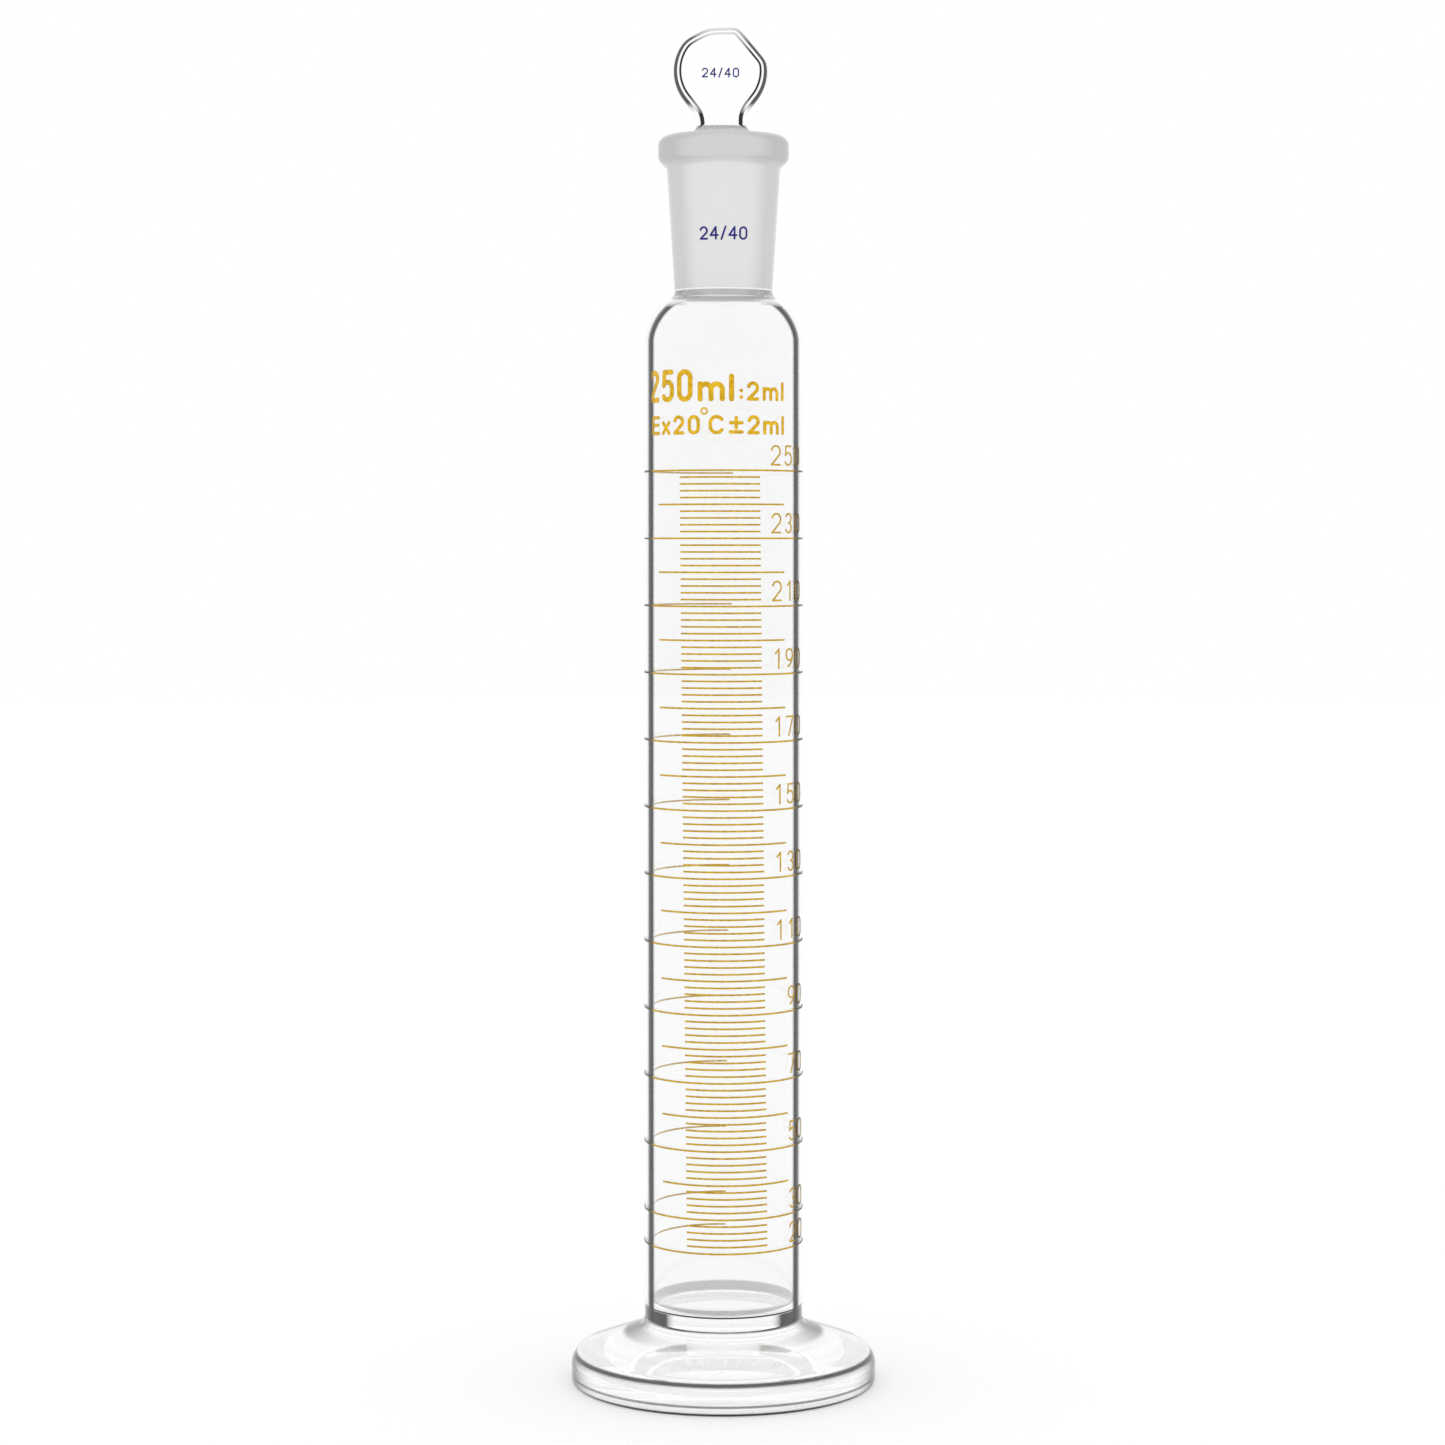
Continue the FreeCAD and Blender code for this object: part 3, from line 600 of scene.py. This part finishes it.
@dataclass(frozen=True)
class GroundGlass:
    """Glass ground to a matt cone, which scatters light back as well as letting it through, with a
    painted glow and painted shade at its sides and bead.

    Args:
        name: the material's name.
        tint: colour that light takes at the surface.
        roughness: least and greatest roughness of the ground surface.
        passing: share of the light that goes through.
        glow: painted glow that stands in for light the ground surface scatters out of the glass, as
            a share of its colour.
        grit_scale: grains per metre.
        grit_height: height of the grains, in metres.
        cloud_scale: cloudy patches per metre.
        dimming: share of its colour that the glass keeps between the grains.
        sides: band of painted shade by how far the surface is turned away, where the glass is seen
            edge on.
        bead: band of heights of the painted shade on the thicker rim, in metres.
    """

    name: str = "ground_glass"
    tint: tuple[float, float, float] = (0.585, 0.583, 0.576)
    roughness: tuple[float, float] = (0.54, 0.66)
    passing: float = 0.15
    glow: float = 0.35
    grit_scale: float = 5200.0
    grit_height: float = 0.00002
    cloud_scale: float = 5200.0 / 30
    dimming: float = 0.985
    sides: Band = Band(0.1, 0.42, 0.62, 0.98, 0.8)
    bead: Band = Band(0.3192, 0.3212, 0.3262, 0.3276, 0.84)

    def build(self) -> Material:
        """Make the material."""
        material, nodes, shader = fresh_material(self.name)
        grit = nodes.grain(self.grit_scale, detail=3.0, contrast=1.6)
        cloud = nodes.grain(self.cloud_scale, detail=2.0, contrast=1.5)
        nodes.roughen(shader, cloud, self.roughness)
        dim = tuple(channel * self.dimming for channel in self.tint)
        # painted shade where the glass is seen edge on and on the bead
        sides = self.sides.place(nodes, nodes.turned())
        light = nodes.product(sides, self.bead.place(nodes, nodes.place()["Z"]))
        colour = nodes.shaded(nodes.tinted(grit, dim, self.tint), light)
        nodes.join(colour, shader.inputs["Base Color"])
        # painted glow: the ground glass's colour also glows
        nodes.join(colour, shader.inputs["Emission Color"])
        shader.inputs["Emission Strength"].default_value = self.glow
        nodes.join(nodes.bumped(grit, self.grit_height, strength=0.6), shader.inputs["Normal"])
        shader.inputs["Transmission Weight"].default_value = self.passing
        shader.inputs["IOR"].default_value = GLASS_IOR
        return material


@dataclass(frozen=True)
class WeldedGlass:
    """The face where two pieces of glass are fused: light passes it as if it weren't there.

    Args:
        name: the material's name.
    """

    name: str = "fused_glass"

    def build(self) -> Material:
        """Make the material."""
        material, _, shader = fresh_material(self.name)
        shader.inputs["Base Color"].default_value = (1.0, 1.0, 1.0, 1.0)
        shader.inputs["Alpha"].default_value = 0.0
        shader.inputs["Transmission Weight"].default_value = 1.0
        return material


@dataclass(frozen=True)
class Enamel:
    """Fired enamel: a glossy pigment film with small changes of depth, a painted glow and painted
    shade where it is seen edge on.

    Args:
        name: the material's name.
        deep: colour where the film is thick.
        thin: colour where the film is thin.
        roughness: least and greatest roughness of the fired surface.
        glow: painted glow that stands in for light coming through the film, as a share of its
            colour.
        sheen: strength of its reflections.
        pool_scale: changes of depth per metre.
        speck_scale: specks per metre.
        speck_height: height of the specks, in metres.
        outline: band of painted shade by how far the film is turned away, where the glass behind it
            has its painted dark outline.
    """

    name: str
    deep: tuple[float, float, float]
    thin: tuple[float, float, float]
    roughness: tuple[float, float] = (0.22, 0.42)
    glow: float = 0.35
    sheen: float = 0.25
    pool_scale: float = 900.0
    speck_scale: float = 6000.0
    speck_height: float = 0.000008
    outline: Band = Band(0.5, 0.62, 2.0, 3.0, 0.12)

    def build(self) -> Material:
        """Make the material."""
        material, nodes, shader = fresh_material(self.name)
        pooled = nodes.grain(self.pool_scale, detail=3.0, contrast=2.4)
        # painted shade where the film is seen edge on
        dark = self.outline.place(nodes, nodes.turned())
        colour = nodes.shaded(nodes.tinted(pooled, self.deep, self.thin), dark)
        nodes.join(colour, shader.inputs["Base Color"])
        # painted glow: the film's colour also glows
        nodes.join(colour, shader.inputs["Emission Color"])
        shader.inputs["Emission Strength"].default_value = self.glow
        shader.inputs["Specular IOR Level"].default_value = self.sheen
        speck = nodes.grain(self.speck_scale, detail=2.0, contrast=1.5)
        nodes.roughen(shader, speck, self.roughness)
        nodes.join(nodes.bumped(speck, self.speck_height, strength=0.5), shader.inputs["Normal"])
        return material


# Turned glass


def turned_piece(name: str, finishes: list[Material], corners: list[Corner]) -> Object:
    """Turn an outline about the Z axis into a closed solid.

    Args:
        name: the piece's name.
        finishes: materials in the order of Surface.
        corners: the outline from the axis round to the axis, or a closed ring of corners.

    Returns:
        The new object, linked to the scene.
    """
    mesh = bmesh.new()
    on_axis = corners[0].radius == 0.0 and corners[-1].radius == 0.0
    verts = [mesh.verts.new(corner.place) for corner in corners]
    ring = list(zip(verts, verts[1:])) + ([] if on_axis else [(verts[-1], verts[0])])
    for first, last in ring:
        mesh.edges.new((first, last))
    round_corners(mesh, verts, corners, on_axis)
    bmesh.ops.spin(
        mesh, geom=mesh.verts[:] + mesh.edges[:], cent=Vector(), axis=Vector((0, 0, 1)),
        dvec=Vector(), angle=math.tau, steps=SPIN_STEPS, use_merge=True, use_duplicate=False,
    )
    bmesh.ops.remove_doubles(mesh, verts=mesh.verts, dist=SLIVER)
    bmesh.ops.recalc_face_normals(mesh, faces=mesh.faces)
    for face in mesh.faces:
        face.smooth = True
        face.material_index = surface_at(face, corners, on_axis).value
    crease_welds(mesh)
    return finished_object(name, mesh, finishes)


def crease_welds(mesh: BMesh) -> None:
    """Keep the shading apart on the two sides of every weld's edge."""
    for edge in mesh.edges:
        kinds = {face.material_index == Surface.WELD.value for face in edge.link_faces}
        edge.smooth = len(kinds) == 1


def cut_flat(mesh: BMesh, faces: list, place: Vector, facing: Vector) -> None:
    """Cut faces along a plane.

    Args:
        mesh: the mesh.
        faces: the faces that may be cut.
        place: a point on the plane.
        facing: the plane's normal.
    """
    parts = {item for face in faces for item in (face, *face.edges, *face.verts)}
    bmesh.ops.bisect_plane(mesh, geom=list(parts), dist=SLIVER, plane_co=place, plane_no=facing)


def round_corners(mesh: BMesh, verts: list, corners: list[Corner], on_axis: bool) -> None:
    """Bevel each corner of a wire outline by its own rounding.

    Args:
        mesh: the mesh that holds the wire.
        verts: the wire's vertices, one to a corner.
        corners: the outline's corners.
        on_axis: whether the outline's ends lie on the axis.
    """
    count = len(corners)
    for index, (vert, corner) in enumerate(zip(verts, corners)):
        if corner.rounding == 0.0 or (on_axis and index in (0, count - 1)):
            continue
        back = corners[index - 1].place - corner.place
        onward = corners[(index + 1) % count].place - corner.place
        setback = corner.rounding / math.tan(back.angle(onward) / 2)
        bmesh.ops.bevel(
            mesh, geom=[vert], offset=setback, offset_type="OFFSET", segments=corner.steps,
            profile=0.5, affect="VERTICES", material=-1, clamp_overlap=False,
        )


def surface_at(face: BMFace, corners: list[Corner], on_axis: bool) -> Surface:
    """The finish of the outline's stretch that a turned face lies nearest to.

    Args:
        face: a face of the turned mesh.
        corners: the outline's corners.
        on_axis: whether the outline's ends lie on the axis.

    Returns:
        The finish of that stretch.
    """
    middle = face.calc_center_median()
    flat = Vector((math.hypot(middle.x, middle.y), 0.0, middle.z))
    count = len(corners)
    best, finish = math.inf, Surface.POLISHED
    for index in range(count - 1 if on_axis else count):
        start, end = corners[index].place, corners[(index + 1) % count].place
        along = end - start
        share = max(0.0, min(1.0, (flat - start).dot(along) / along.length_squared))
        gap = (start + along * share - flat).length
        if gap < best:
            best, finish = gap, corners[index].after
    return finish


def finished_object(name: str, mesh: BMesh, finishes: list[Material]) -> Object:
    """Make an object from a bmesh, with its materials.

    Args:
        name: the object's name.
        mesh: the mesh, which is freed.
        finishes: materials by slot.

    Returns:
        The object, linked to the scene.
    """
    data = bpy.data.meshes.new(name)
    mesh.to_mesh(data)
    mesh.free()
    for finish in finishes:
        data.materials.append(finish)
    piece = bpy.data.objects.new(name, data)
    bpy.context.scene.collection.objects.link(piece)
    return piece


def weigh_normals(piece: Object) -> None:
    """Let broad faces set the shading beside narrow ones, so that flats stay optically flat."""
    modifier = piece.modifiers.new("even_shading", "WEIGHTED_NORMAL")
    modifier.mode = "FACE_AREA"
    modifier.weight = AREA_WEIGHT
    modifier.keep_sharp = True


@dataclass
class Glasswork:
    """The finishes that all the glass shares."""

    foot: Material = field(default_factory=FootGlass().build)
    tube: Material = field(default_factory=TubeGlass().build)
    head: Material = field(default_factory=HeadGlass().build)
    ground: Material = field(default_factory=GroundGlass().build)
    weld: Material = field(default_factory=WeldedGlass().build)

    def slots(self, polished: Material) -> list[Material]:
        """Materials in the order of Surface.

        Args:
            polished: the material of the piece's polished faces.

        Returns:
            The three materials.
        """
        return [polished, self.weld, self.ground]

    def stand_in(self, piece: Object, node: str, body: Body) -> Object:
        """Let a finished piece ride on its body and stand for a CAD node.

        Args:
            piece: the piece.
            node: the CAD node that it replaces.
            body: the body that it rides on.

        Returns:
            The piece.
        """
        weigh_normals(piece)
        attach(piece, body.value)
        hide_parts(node)
        LOG.info("%s: %d faces", piece.name, len(piece.data.polygons))
        return piece


@dataclass
class Levels:
    """Heights and radii that several pieces share, read from the frame's boxes."""

    film_gap: float = 0.06 * MM
    foot_radius: float = 0.0
    foot_top: float = 0.0
    tube_radius: float = 0.0
    neck_top: float = 0.0
    rim_top: float = 0.0
    bead_radius: float = 0.0
    plug_tip: float = 0.0
    head_middle: Vector = field(default_factory=Vector)
    head_radius: float = 0.0
    head_half: float = 0.0

    def __post_init__(self) -> None:
        """Read the boxes."""
        self.foot_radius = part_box("foot")[1].x
        self.foot_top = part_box("foot")[1].z
        self.tube_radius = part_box("measuring_tube")[1].x - self.film_gap
        self.neck_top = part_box("measuring_tube")[1].z
        self.rim_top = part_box("socket_joint")[1].z
        self.bead_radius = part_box("socket_joint")[1].x
        self.plug_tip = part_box("stopper_plug")[0].z
        low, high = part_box("stopper_head")
        self.head_radius = (high.x - low.x) / 2
        self.head_middle = Vector(((high.x + low.x) / 2, 0.0, high.z - self.head_radius))
        self.head_half = -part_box("stopper_size_mark")[1].y - self.film_gap


@dataclass
class Foot:
    """The pressed foot: a sloping top, a full round edge and a shallow hollow underneath."""

    levels: Levels
    edge_height: float = 8.15 * MM
    slope_top: float = 15.0 * MM
    edge_round: float = 4.4 * MM
    bottom_round: float = 1.3 * MM
    collar_round: float = 2.2 * MM
    hollow_radius: float = 29.0 * MM
    hollow_depth: float = 1.2 * MM
    hollow_round: float = 0.4 * MM
    collar_gap: float = 0.2 * MM
    lip_round: float = 0.3 * MM
    weld_groove: float = 0.5 * MM

    def build(self, glass: Glasswork) -> Object:
        """Turn the foot."""
        edge = self.levels.foot_radius
        collar = self.levels.tube_radius + self.collar_gap
        weld = self.levels.tube_radius - self.weld_groove
        top = self.levels.foot_top
        piece = turned_piece("foot_glass", glass.slots(glass.foot), [
            Corner(0.0, self.hollow_depth),
            Corner(self.hollow_radius, 0.0, self.hollow_round, 3),
            Corner(edge, 0.0, self.bottom_round, 6),
            Corner(edge, self.edge_height, self.edge_round, 12),
            Corner(collar, self.slope_top, self.collar_round, 10),
            Corner(collar, top, self.lip_round, 4),
            Corner(weld, top, after=Surface.WELD),
            Corner(0.0, top),
        ])
        return glass.stand_in(piece, "foot", Body.CYLINDER)


@dataclass
class Tube:
    """The graduated tube, closed by a thick flat floor and drawn in at the shoulder."""

    levels: Levels
    wall: float = 1.72 * MM
    floor: float = 3.0 * MM
    floor_round: float = 3.0 * MM
    base_rise: float = 0.5 * MM
    base_round: float = 0.3 * MM
    weld_groove: float = 0.5 * MM
    neck_radius: float = NECK_RADIUS
    bore_radius: float = THROAT_RADIUS
    neck_length: float = 1.5 * MM
    shoulder_slope: float = math.radians(30.4)
    shoulder_round: float = 13.4 * MM
    neck_round: float = 1.8 * MM

    def build(self, glass: Glasswork) -> Object:
        """Turn the tube."""
        outer = self.levels.tube_radius
        inner = outer - self.wall
        base = self.levels.foot_top
        top = self.levels.neck_top
        weld = outer - self.weld_groove
        neck = top - self.neck_length
        shoulder = neck - (outer - self.neck_radius) * math.tan(self.shoulder_slope)
        drop = self.wall / math.cos(self.shoulder_slope)
        inner_shoulder = shoulder + self.wall * math.tan(self.shoulder_slope) - drop
        wall_at_neck = self.neck_radius - self.bore_radius
        inner_neck = neck + wall_at_neck * math.tan(self.shoulder_slope) - drop
        piece = turned_piece("tube_glass", glass.slots(glass.tube), [
            Corner(0.0, base, after=Surface.WELD),
            Corner(weld, base),
            Corner(outer, base + self.base_rise, self.base_round, 4),
            Corner(outer, shoulder, self.shoulder_round, 24),
            Corner(self.neck_radius, neck, self.neck_round, 8),
            Corner(self.neck_radius, top, after=Surface.GROUND),
            Corner(self.bore_radius, top),
            Corner(self.bore_radius, inner_neck, self.neck_round + self.wall / 2, 10),
            Corner(inner, inner_shoulder, self.shoulder_round - self.wall, 20),
            Corner(inner, base + self.floor, self.floor_round, 10),
            Corner(0.0, base + self.floor),
        ])
        return glass.stand_in(piece, "measuring_tube", Body.CYLINDER)


@dataclass
class Socket:
    """The ground socket with its beaded rim."""

    levels: Levels
    neck_radius: float = NECK_RADIUS
    bore_radius: float = THROAT_RADIUS
    rim_bore: float = 12.0 * MM
    lead: float = 0.5 * MM
    bead_height: float = 8.5 * MM
    bead_overhang: float = 2.3 * MM
    bead_rise: float = 2.4 * MM
    bead_round: float = 2.4 * MM
    bead_flat_top: float = 1.0 * MM
    throat_round: float = 1.2 * MM
    lip_inset: float = 1.9 * MM
    lip_round: float = 0.5 * MM

    def build(self, glass: Glasswork) -> Object:
        """Turn the socket."""
        low = self.levels.neck_top
        rim = self.levels.rim_top
        bead = self.levels.bead_radius
        throat = bead - self.bead_overhang
        piece = turned_piece("socket_glass", glass.slots(glass.ground), [
            Corner(self.neck_radius, low),
            Corner(throat, rim - self.bead_height, self.throat_round, 6),
            Corner(bead, rim - self.bead_height + self.bead_rise, self.bead_round, 10),
            Corner(bead, rim - self.bead_flat_top, self.bead_round, 10),
            Corner(bead - self.lip_inset, rim, self.lip_round, 4),
            Corner(self.rim_bore, rim, self.lip_round, 4, Surface.GROUND),
            Corner(self.bore_radius, low + self.lead),
            Corner(self.bore_radius, low, after=Surface.WELD),
        ])
        return glass.stand_in(piece, "socket_joint", Body.CYLINDER)


@dataclass(frozen=True)
class PressedFlat:
    """A stretch of the head's edge that was pressed flat while it was soft.

    Args:
        turn: the direction that it faces, from +X towards +Z.
        reach: its distance from the head's middle, in metres.
    """

    turn: float
    reach: float

    def press(self, vert: BMVert, middle: Vector, softness: float) -> None:
        """Push a vertex back to the flat, easing in at its ends.

        Args:
            vert: the vertex.
            middle: the head's middle.
            softness: length over which the flat eases in, in metres.
        """
        facing = Vector((math.cos(self.turn), 0.0, math.sin(self.turn)))
        short = (self.reach - (vert.co - middle).dot(facing)) / softness
        eased = softness * (math.log1p(math.exp(-abs(short))) + max(short, 0.0))
        vert.co += facing * (short * softness - eased)


@dataclass
class Head:
    """The pressed head: a disc, not quite round, on a waisted stem that spreads at its foot."""

    levels: Levels
    lift: float = 0.6 * MM
    trim: float = 0.35 * MM
    lean: float = math.radians(38.0)
    stem_half: float = 6.55 * MM
    stem_shift: float = -0.5 * MM
    cove: float = 5.0 * MM
    edge_round: float = HEAD_EDGE_ROUND
    edge_steps: int = 7
    softness: float = 0.3 * MM
    flats: tuple[PressedFlat, ...] = (
        PressedFlat(math.radians(40.0), 11.0 * MM),
        PressedFlat(math.radians(92.0), 11.5 * MM),
        PressedFlat(math.radians(117.0), 11.7 * MM),
    )
    base_radius: float = STEM_FOOT_RADIUS
    spread_height: float = 3.0 * MM
    spread_rows: int = 12
    spread_columns: int = 24
    arc_steps: int = 96
    cove_steps: int = 14

    @property
    def middle(self) -> Vector:
        """The disc's middle."""
        return self.levels.head_middle + Vector((0.0, 0.0, self.lift))

    def build(self, glass: Glasswork) -> Object:
        """Press the head, spread its foot and let it stand for the CAD's."""
        mesh = bmesh.new()
        self.draw_outline(mesh)
        self.press_plate(mesh)
        self.spread_foot(mesh)
        for face in mesh.faces:
            face.smooth = True
            at_foot = all(vert.co.z < self.levels.rim_top + JUST_ABOVE for vert in face.verts)
            face.material_index = (Surface.WELD if at_foot else Surface.POLISHED).value
        bmesh.ops.recalc_face_normals(mesh, faces=mesh.faces)
        crease_welds(mesh)
        piece = finished_object("head_glass", mesh, glass.slots(glass.head))
        return glass.stand_in(piece, "stopper_head", Body.STOPPER_TWIST)

    def draw_outline(self, mesh: BMesh) -> None:
        """Draw the disc's arc and the stem's two sides as one closed wire.

        Args:
            mesh: the mesh, which is empty.
        """
        radius = self.levels.head_radius - self.trim
        start = Vector((radius * math.cos(self.lean), 0.0, -radius * math.sin(self.lean)))
        first = mesh.verts.new(self.middle + start)
        arc = bmesh.ops.spin(
            mesh, geom=[first], cent=self.middle, axis=Vector((0, -1, 0)), dvec=Vector(),
            angle=math.pi + 2 * self.lean, steps=self.arc_steps, use_merge=False,
            use_duplicate=False,
        )
        last = next(item for item in arc["geom_last"] if isinstance(item, BMVert))
        for vert in mesh.verts:
            for flat in self.flats:
                flat.press(vert, self.middle, self.softness)
        right = self.stem_side(mesh, first, 1)
        left = self.stem_side(mesh, last, -1)
        mesh.edges.new((right, left))

    def stem_side(self, mesh: BMesh, top: BMVert, side: int) -> BMVert:
        """Run the outline down one side of the stem.

        Args:
            mesh: the mesh that holds the wire.
            top: the end of the disc's arc on this side.
            side: 1 on the right, -1 on the left.

        Returns:
            The vertex at the stem's foot.
        """
        across = self.stem_shift + side * self.stem_half
        drop = abs(top.co.x - across) / math.tan(self.lean)
        waist = mesh.verts.new((across, 0.0, top.co.z - drop))
        foot = mesh.verts.new((across, 0.0, self.levels.rim_top))
        mesh.edges.new((top, waist))
        mesh.edges.new((waist, foot))
        bmesh.ops.bevel(
            mesh, geom=[waist], offset=self.cove * math.tan(self.lean / 2), offset_type="OFFSET",
            segments=self.cove_steps, profile=0.5, affect="VERTICES", material=-1,
            clamp_overlap=False,
        )
        return foot

    def press_plate(self, mesh: BMesh) -> None:
        """Fill the outline, give it its thickness and round its edges.

        Args:
            mesh: the mesh that holds the outline.
        """
        half = self.levels.head_half
        bmesh.ops.edgeloop_fill(mesh, edges=mesh.edges)
        bmesh.ops.translate(mesh, verts=mesh.verts, vec=Vector((0.0, -half, 0.0)))
        pulled = bmesh.ops.extrude_face_region(mesh, geom=mesh.faces[:])
        verts = [item for item in pulled["geom"] if isinstance(item, BMVert)]
        bmesh.ops.translate(mesh, verts=verts, vec=Vector((0.0, 2 * half, 0.0)))
        bmesh.ops.recalc_face_normals(mesh, faces=mesh.faces)
        foot = self.levels.rim_top + JUST_ABOVE
        rims = [
            edge for edge in mesh.edges
            if abs(edge.verts[0].co.y - edge.verts[1].co.y) < SLIVER
            and max(vert.co.z for vert in edge.verts) > foot
        ]
        bmesh.ops.bevel(
            mesh, geom=rims, offset=self.edge_round, offset_type="OFFSET", segments=self.edge_steps,
            profile=0.5, affect="EDGES", material=-1, clamp_overlap=False,
        )

    def spread_foot(self, mesh: BMesh) -> None:
        """Cut the stem's foot into rows and columns, and ease it out from a plate to a round.

        Args:
            mesh: the mesh that holds the plate.
        """
        rim = self.levels.rim_top
        for row in range(1, self.spread_rows + 1):
            height = rim + self.spread_height * row / self.spread_rows
            cut_flat(mesh, mesh.faces, Vector((0.0, 0.0, height)), Vector((0, 0, 1)))
        top = rim + self.spread_height + JUST_ABOVE
        for column in range(1, self.spread_columns):
            across = self.stem_shift + self.stem_half * (2 * column / self.spread_columns - 1)
            low = [face for face in mesh.faces if all(vert.co.z < top for vert in face.verts)]
            cut_flat(mesh, low, Vector((across, 0.0, 0.0)), Vector((1, 0, 0)))
        for vert in mesh.verts:
            share = max(0.0, 1 - (vert.co.z - rim) / self.spread_height) ** 2
            wide = (vert.co.x - self.stem_shift) / self.stem_half
            deep = vert.co.y / self.levels.head_half
            turn = math.atan2(deep, wide)
            around = Vector((math.cos(turn), math.sin(turn), 0.0)) * self.base_radius
            vert.co = vert.co.lerp(around + Vector((0.0, 0.0, vert.co.z)), share)


@dataclass
class Plug:
    """The ground plug under the head."""

    levels: Levels
    tip_radius: float = 10.02 * MM
    top_radius: float = 11.91 * MM
    top_drop: float = 1.2 * MM
    end_round: float = 0.8 * MM
    stem_foot: float = STEM_FOOT_RADIUS

    def build(self, glass: Glasswork) -> Object:
        """Turn the plug."""
        rim = self.levels.rim_top
        piece = turned_piece("plug_glass", glass.slots(glass.ground), [
            Corner(0.0, self.levels.plug_tip),
            Corner(self.tip_radius, self.levels.plug_tip, self.end_round, 5, Surface.GROUND),
            Corner(self.top_radius, rim - self.top_drop, self.end_round, 5),
            Corner(self.stem_foot, rim),
            Corner(0.0, rim),
        ])
        return glass.stand_in(piece, "stopper_plug", Body.STOPPER_LIFT)


class Print:
    """The enamel marks, which keep their CAD shapes."""

    LEGENDS = ("capacity_legend", "tolerance_legend")
    SIZE_MARKS = ("joint_size_mark", "stopper_size_mark")
    SCALE = ("ring_", "numeral_", "marks_")

    def __init__(self) -> None:
        """Build the three enamels."""
        self.amber = Enamel("amber_enamel", (0.31, 0.165, 0.0), (0.51, 0.32, 0.002)).build()
        self.gold = Enamel("gold_enamel", (0.4, 0.22, 0.0), (0.64, 0.39, 0.006)).build()
        self.blue = Enamel("blue_enamel", (0.005, 0.005, 0.09), (0.015, 0.015, 0.2)).build()

    def dress(self) -> None:
        """Give every enamel node its finish."""
        for name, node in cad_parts.items():
            if name in self.LEGENDS:
                finish = self.gold
            elif name in self.SIZE_MARKS:
                finish = self.blue
            elif name.startswith(self.SCALE):
                finish = self.amber
            else:
                continue
            node.data.materials.clear()
            node.data.materials.append(finish)
            LOG.info("%s: %s", name, finish.name)


# Studio


@dataclass
class Studio:
    """A pale bench, soft white light from all round, and the camera."""

    eye_height: float = 0.2217
    distance: float = 0.923
    view_width: float = 0.381
    view_drop: float = 0.127
    side_step: float = -0.00026
    sensor_width: float = 36.0
    bench_radius: float = 4.0
    bench_sides: int = 96
    bench_grey: float = 0.9
    bench_roughness: float = 0.9
    bench_glow: float = 0.14
    bench_lit: float = 0.42

    def build(self) -> None:
        """Set up the world, the bench and the camera."""
        self.light_world()
        self.lay_bench()
        self.place_camera()
        scene = bpy.context.scene
        scene.view_settings.view_transform = "Standard"
        scene.cycles.max_bounces = FAR_BOUNCES
        scene.cycles.transmission_bounces = FAR_BOUNCES
        scene.cycles.glossy_bounces = FAR_BOUNCES // 2
        scene.cycles.transparent_max_bounces = FAR_BOUNCES

    def light_world(self) -> None:
        """White light all round."""
        world = bpy.data.worlds.new("studio")
        bpy.context.scene.world = world
        world.use_nodes = True
        world.node_tree.nodes.clear()
        nodes = Nodes(world.node_tree)
        output = nodes.add("OutputWorld")
        background = nodes.add("Background")
        background.inputs["Color"].default_value = (1.0, 1.0, 1.0, 1.0)
        nodes.join(background.outputs[0], output.inputs["Surface"])

    def lay_bench(self) -> None:
        """A pale bench top that fades into the white surroundings, with a painted glow where it is
        seen through the glass, which fills in the shade under the foot.
        """
        mesh = bmesh.new()
        bmesh.ops.create_circle(
            mesh, cap_ends=True, segments=self.bench_sides, radius=self.bench_radius,
        )
        material, nodes, shader = fresh_material("pale_bench")
        shader.inputs["Base Color"].default_value = (*[self.bench_grey] * 3, 1.0)
        shader.inputs["Roughness"].default_value = self.bench_roughness
        shader.inputs["Specular IOR Level"].default_value = 0.0
        shader.inputs["Emission Color"].default_value = (1.0, 1.0, 1.0, 1.0)
        shader.inputs["Emission Strength"].default_value = self.bench_glow
        # painted glow: seen through the glass, the bench partly glows white, which fills in the
        # shade under the foot
        behind_glass = nodes.add("Emission")
        either = nodes.add("MixShader")
        through = nodes.ramp(
            nodes.add("LightPath").outputs["Transmission Depth"], (0.0, 1.0), (0.0, self.bench_lit),
        )
        nodes.join(through, either.inputs[0])
        nodes.join(shader.outputs["BSDF"], either.inputs[1])
        nodes.join(behind_glass.outputs["Emission"], either.inputs[2])
        output = next(node for node in material.node_tree.nodes if node.type == "OUTPUT_MATERIAL")
        nodes.join(either.outputs["Shader"], output.inputs["Surface"])
        bench = finished_object("bench", mesh, [material])

    def place_camera(self) -> None:
        """A level camera in front, framed from the bench to above the stopper."""
        data = bpy.data.cameras.new("camera")
        data.sensor_width = self.sensor_width
        data.lens = data.sensor_width * self.distance / self.view_width
        data.shift_y = -self.view_drop
        camera = bpy.data.objects.new("camera", data)
        camera.location = (self.side_step, -self.distance, self.eye_height)
        camera.rotation_euler = (math.pi / 2, 0.0, 0.0)
        bpy.context.scene.collection.objects.link(camera)
        bpy.context.scene.camera = camera


def main() -> None:
    """Build the pieces in order, then the studio."""
    logging.basicConfig(level=logging.INFO, format="%(name)s: %(message)s")
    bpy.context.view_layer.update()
    glass = Glasswork()
    levels = Levels()
    Foot(levels).build(glass)
    Tube(levels).build(glass)
    Socket(levels).build(glass)
    Plug(levels).build(glass)
    Head(levels).build(glass)
    Print().dress()
    Studio().build()


if __name__ == "__main__":
    main()
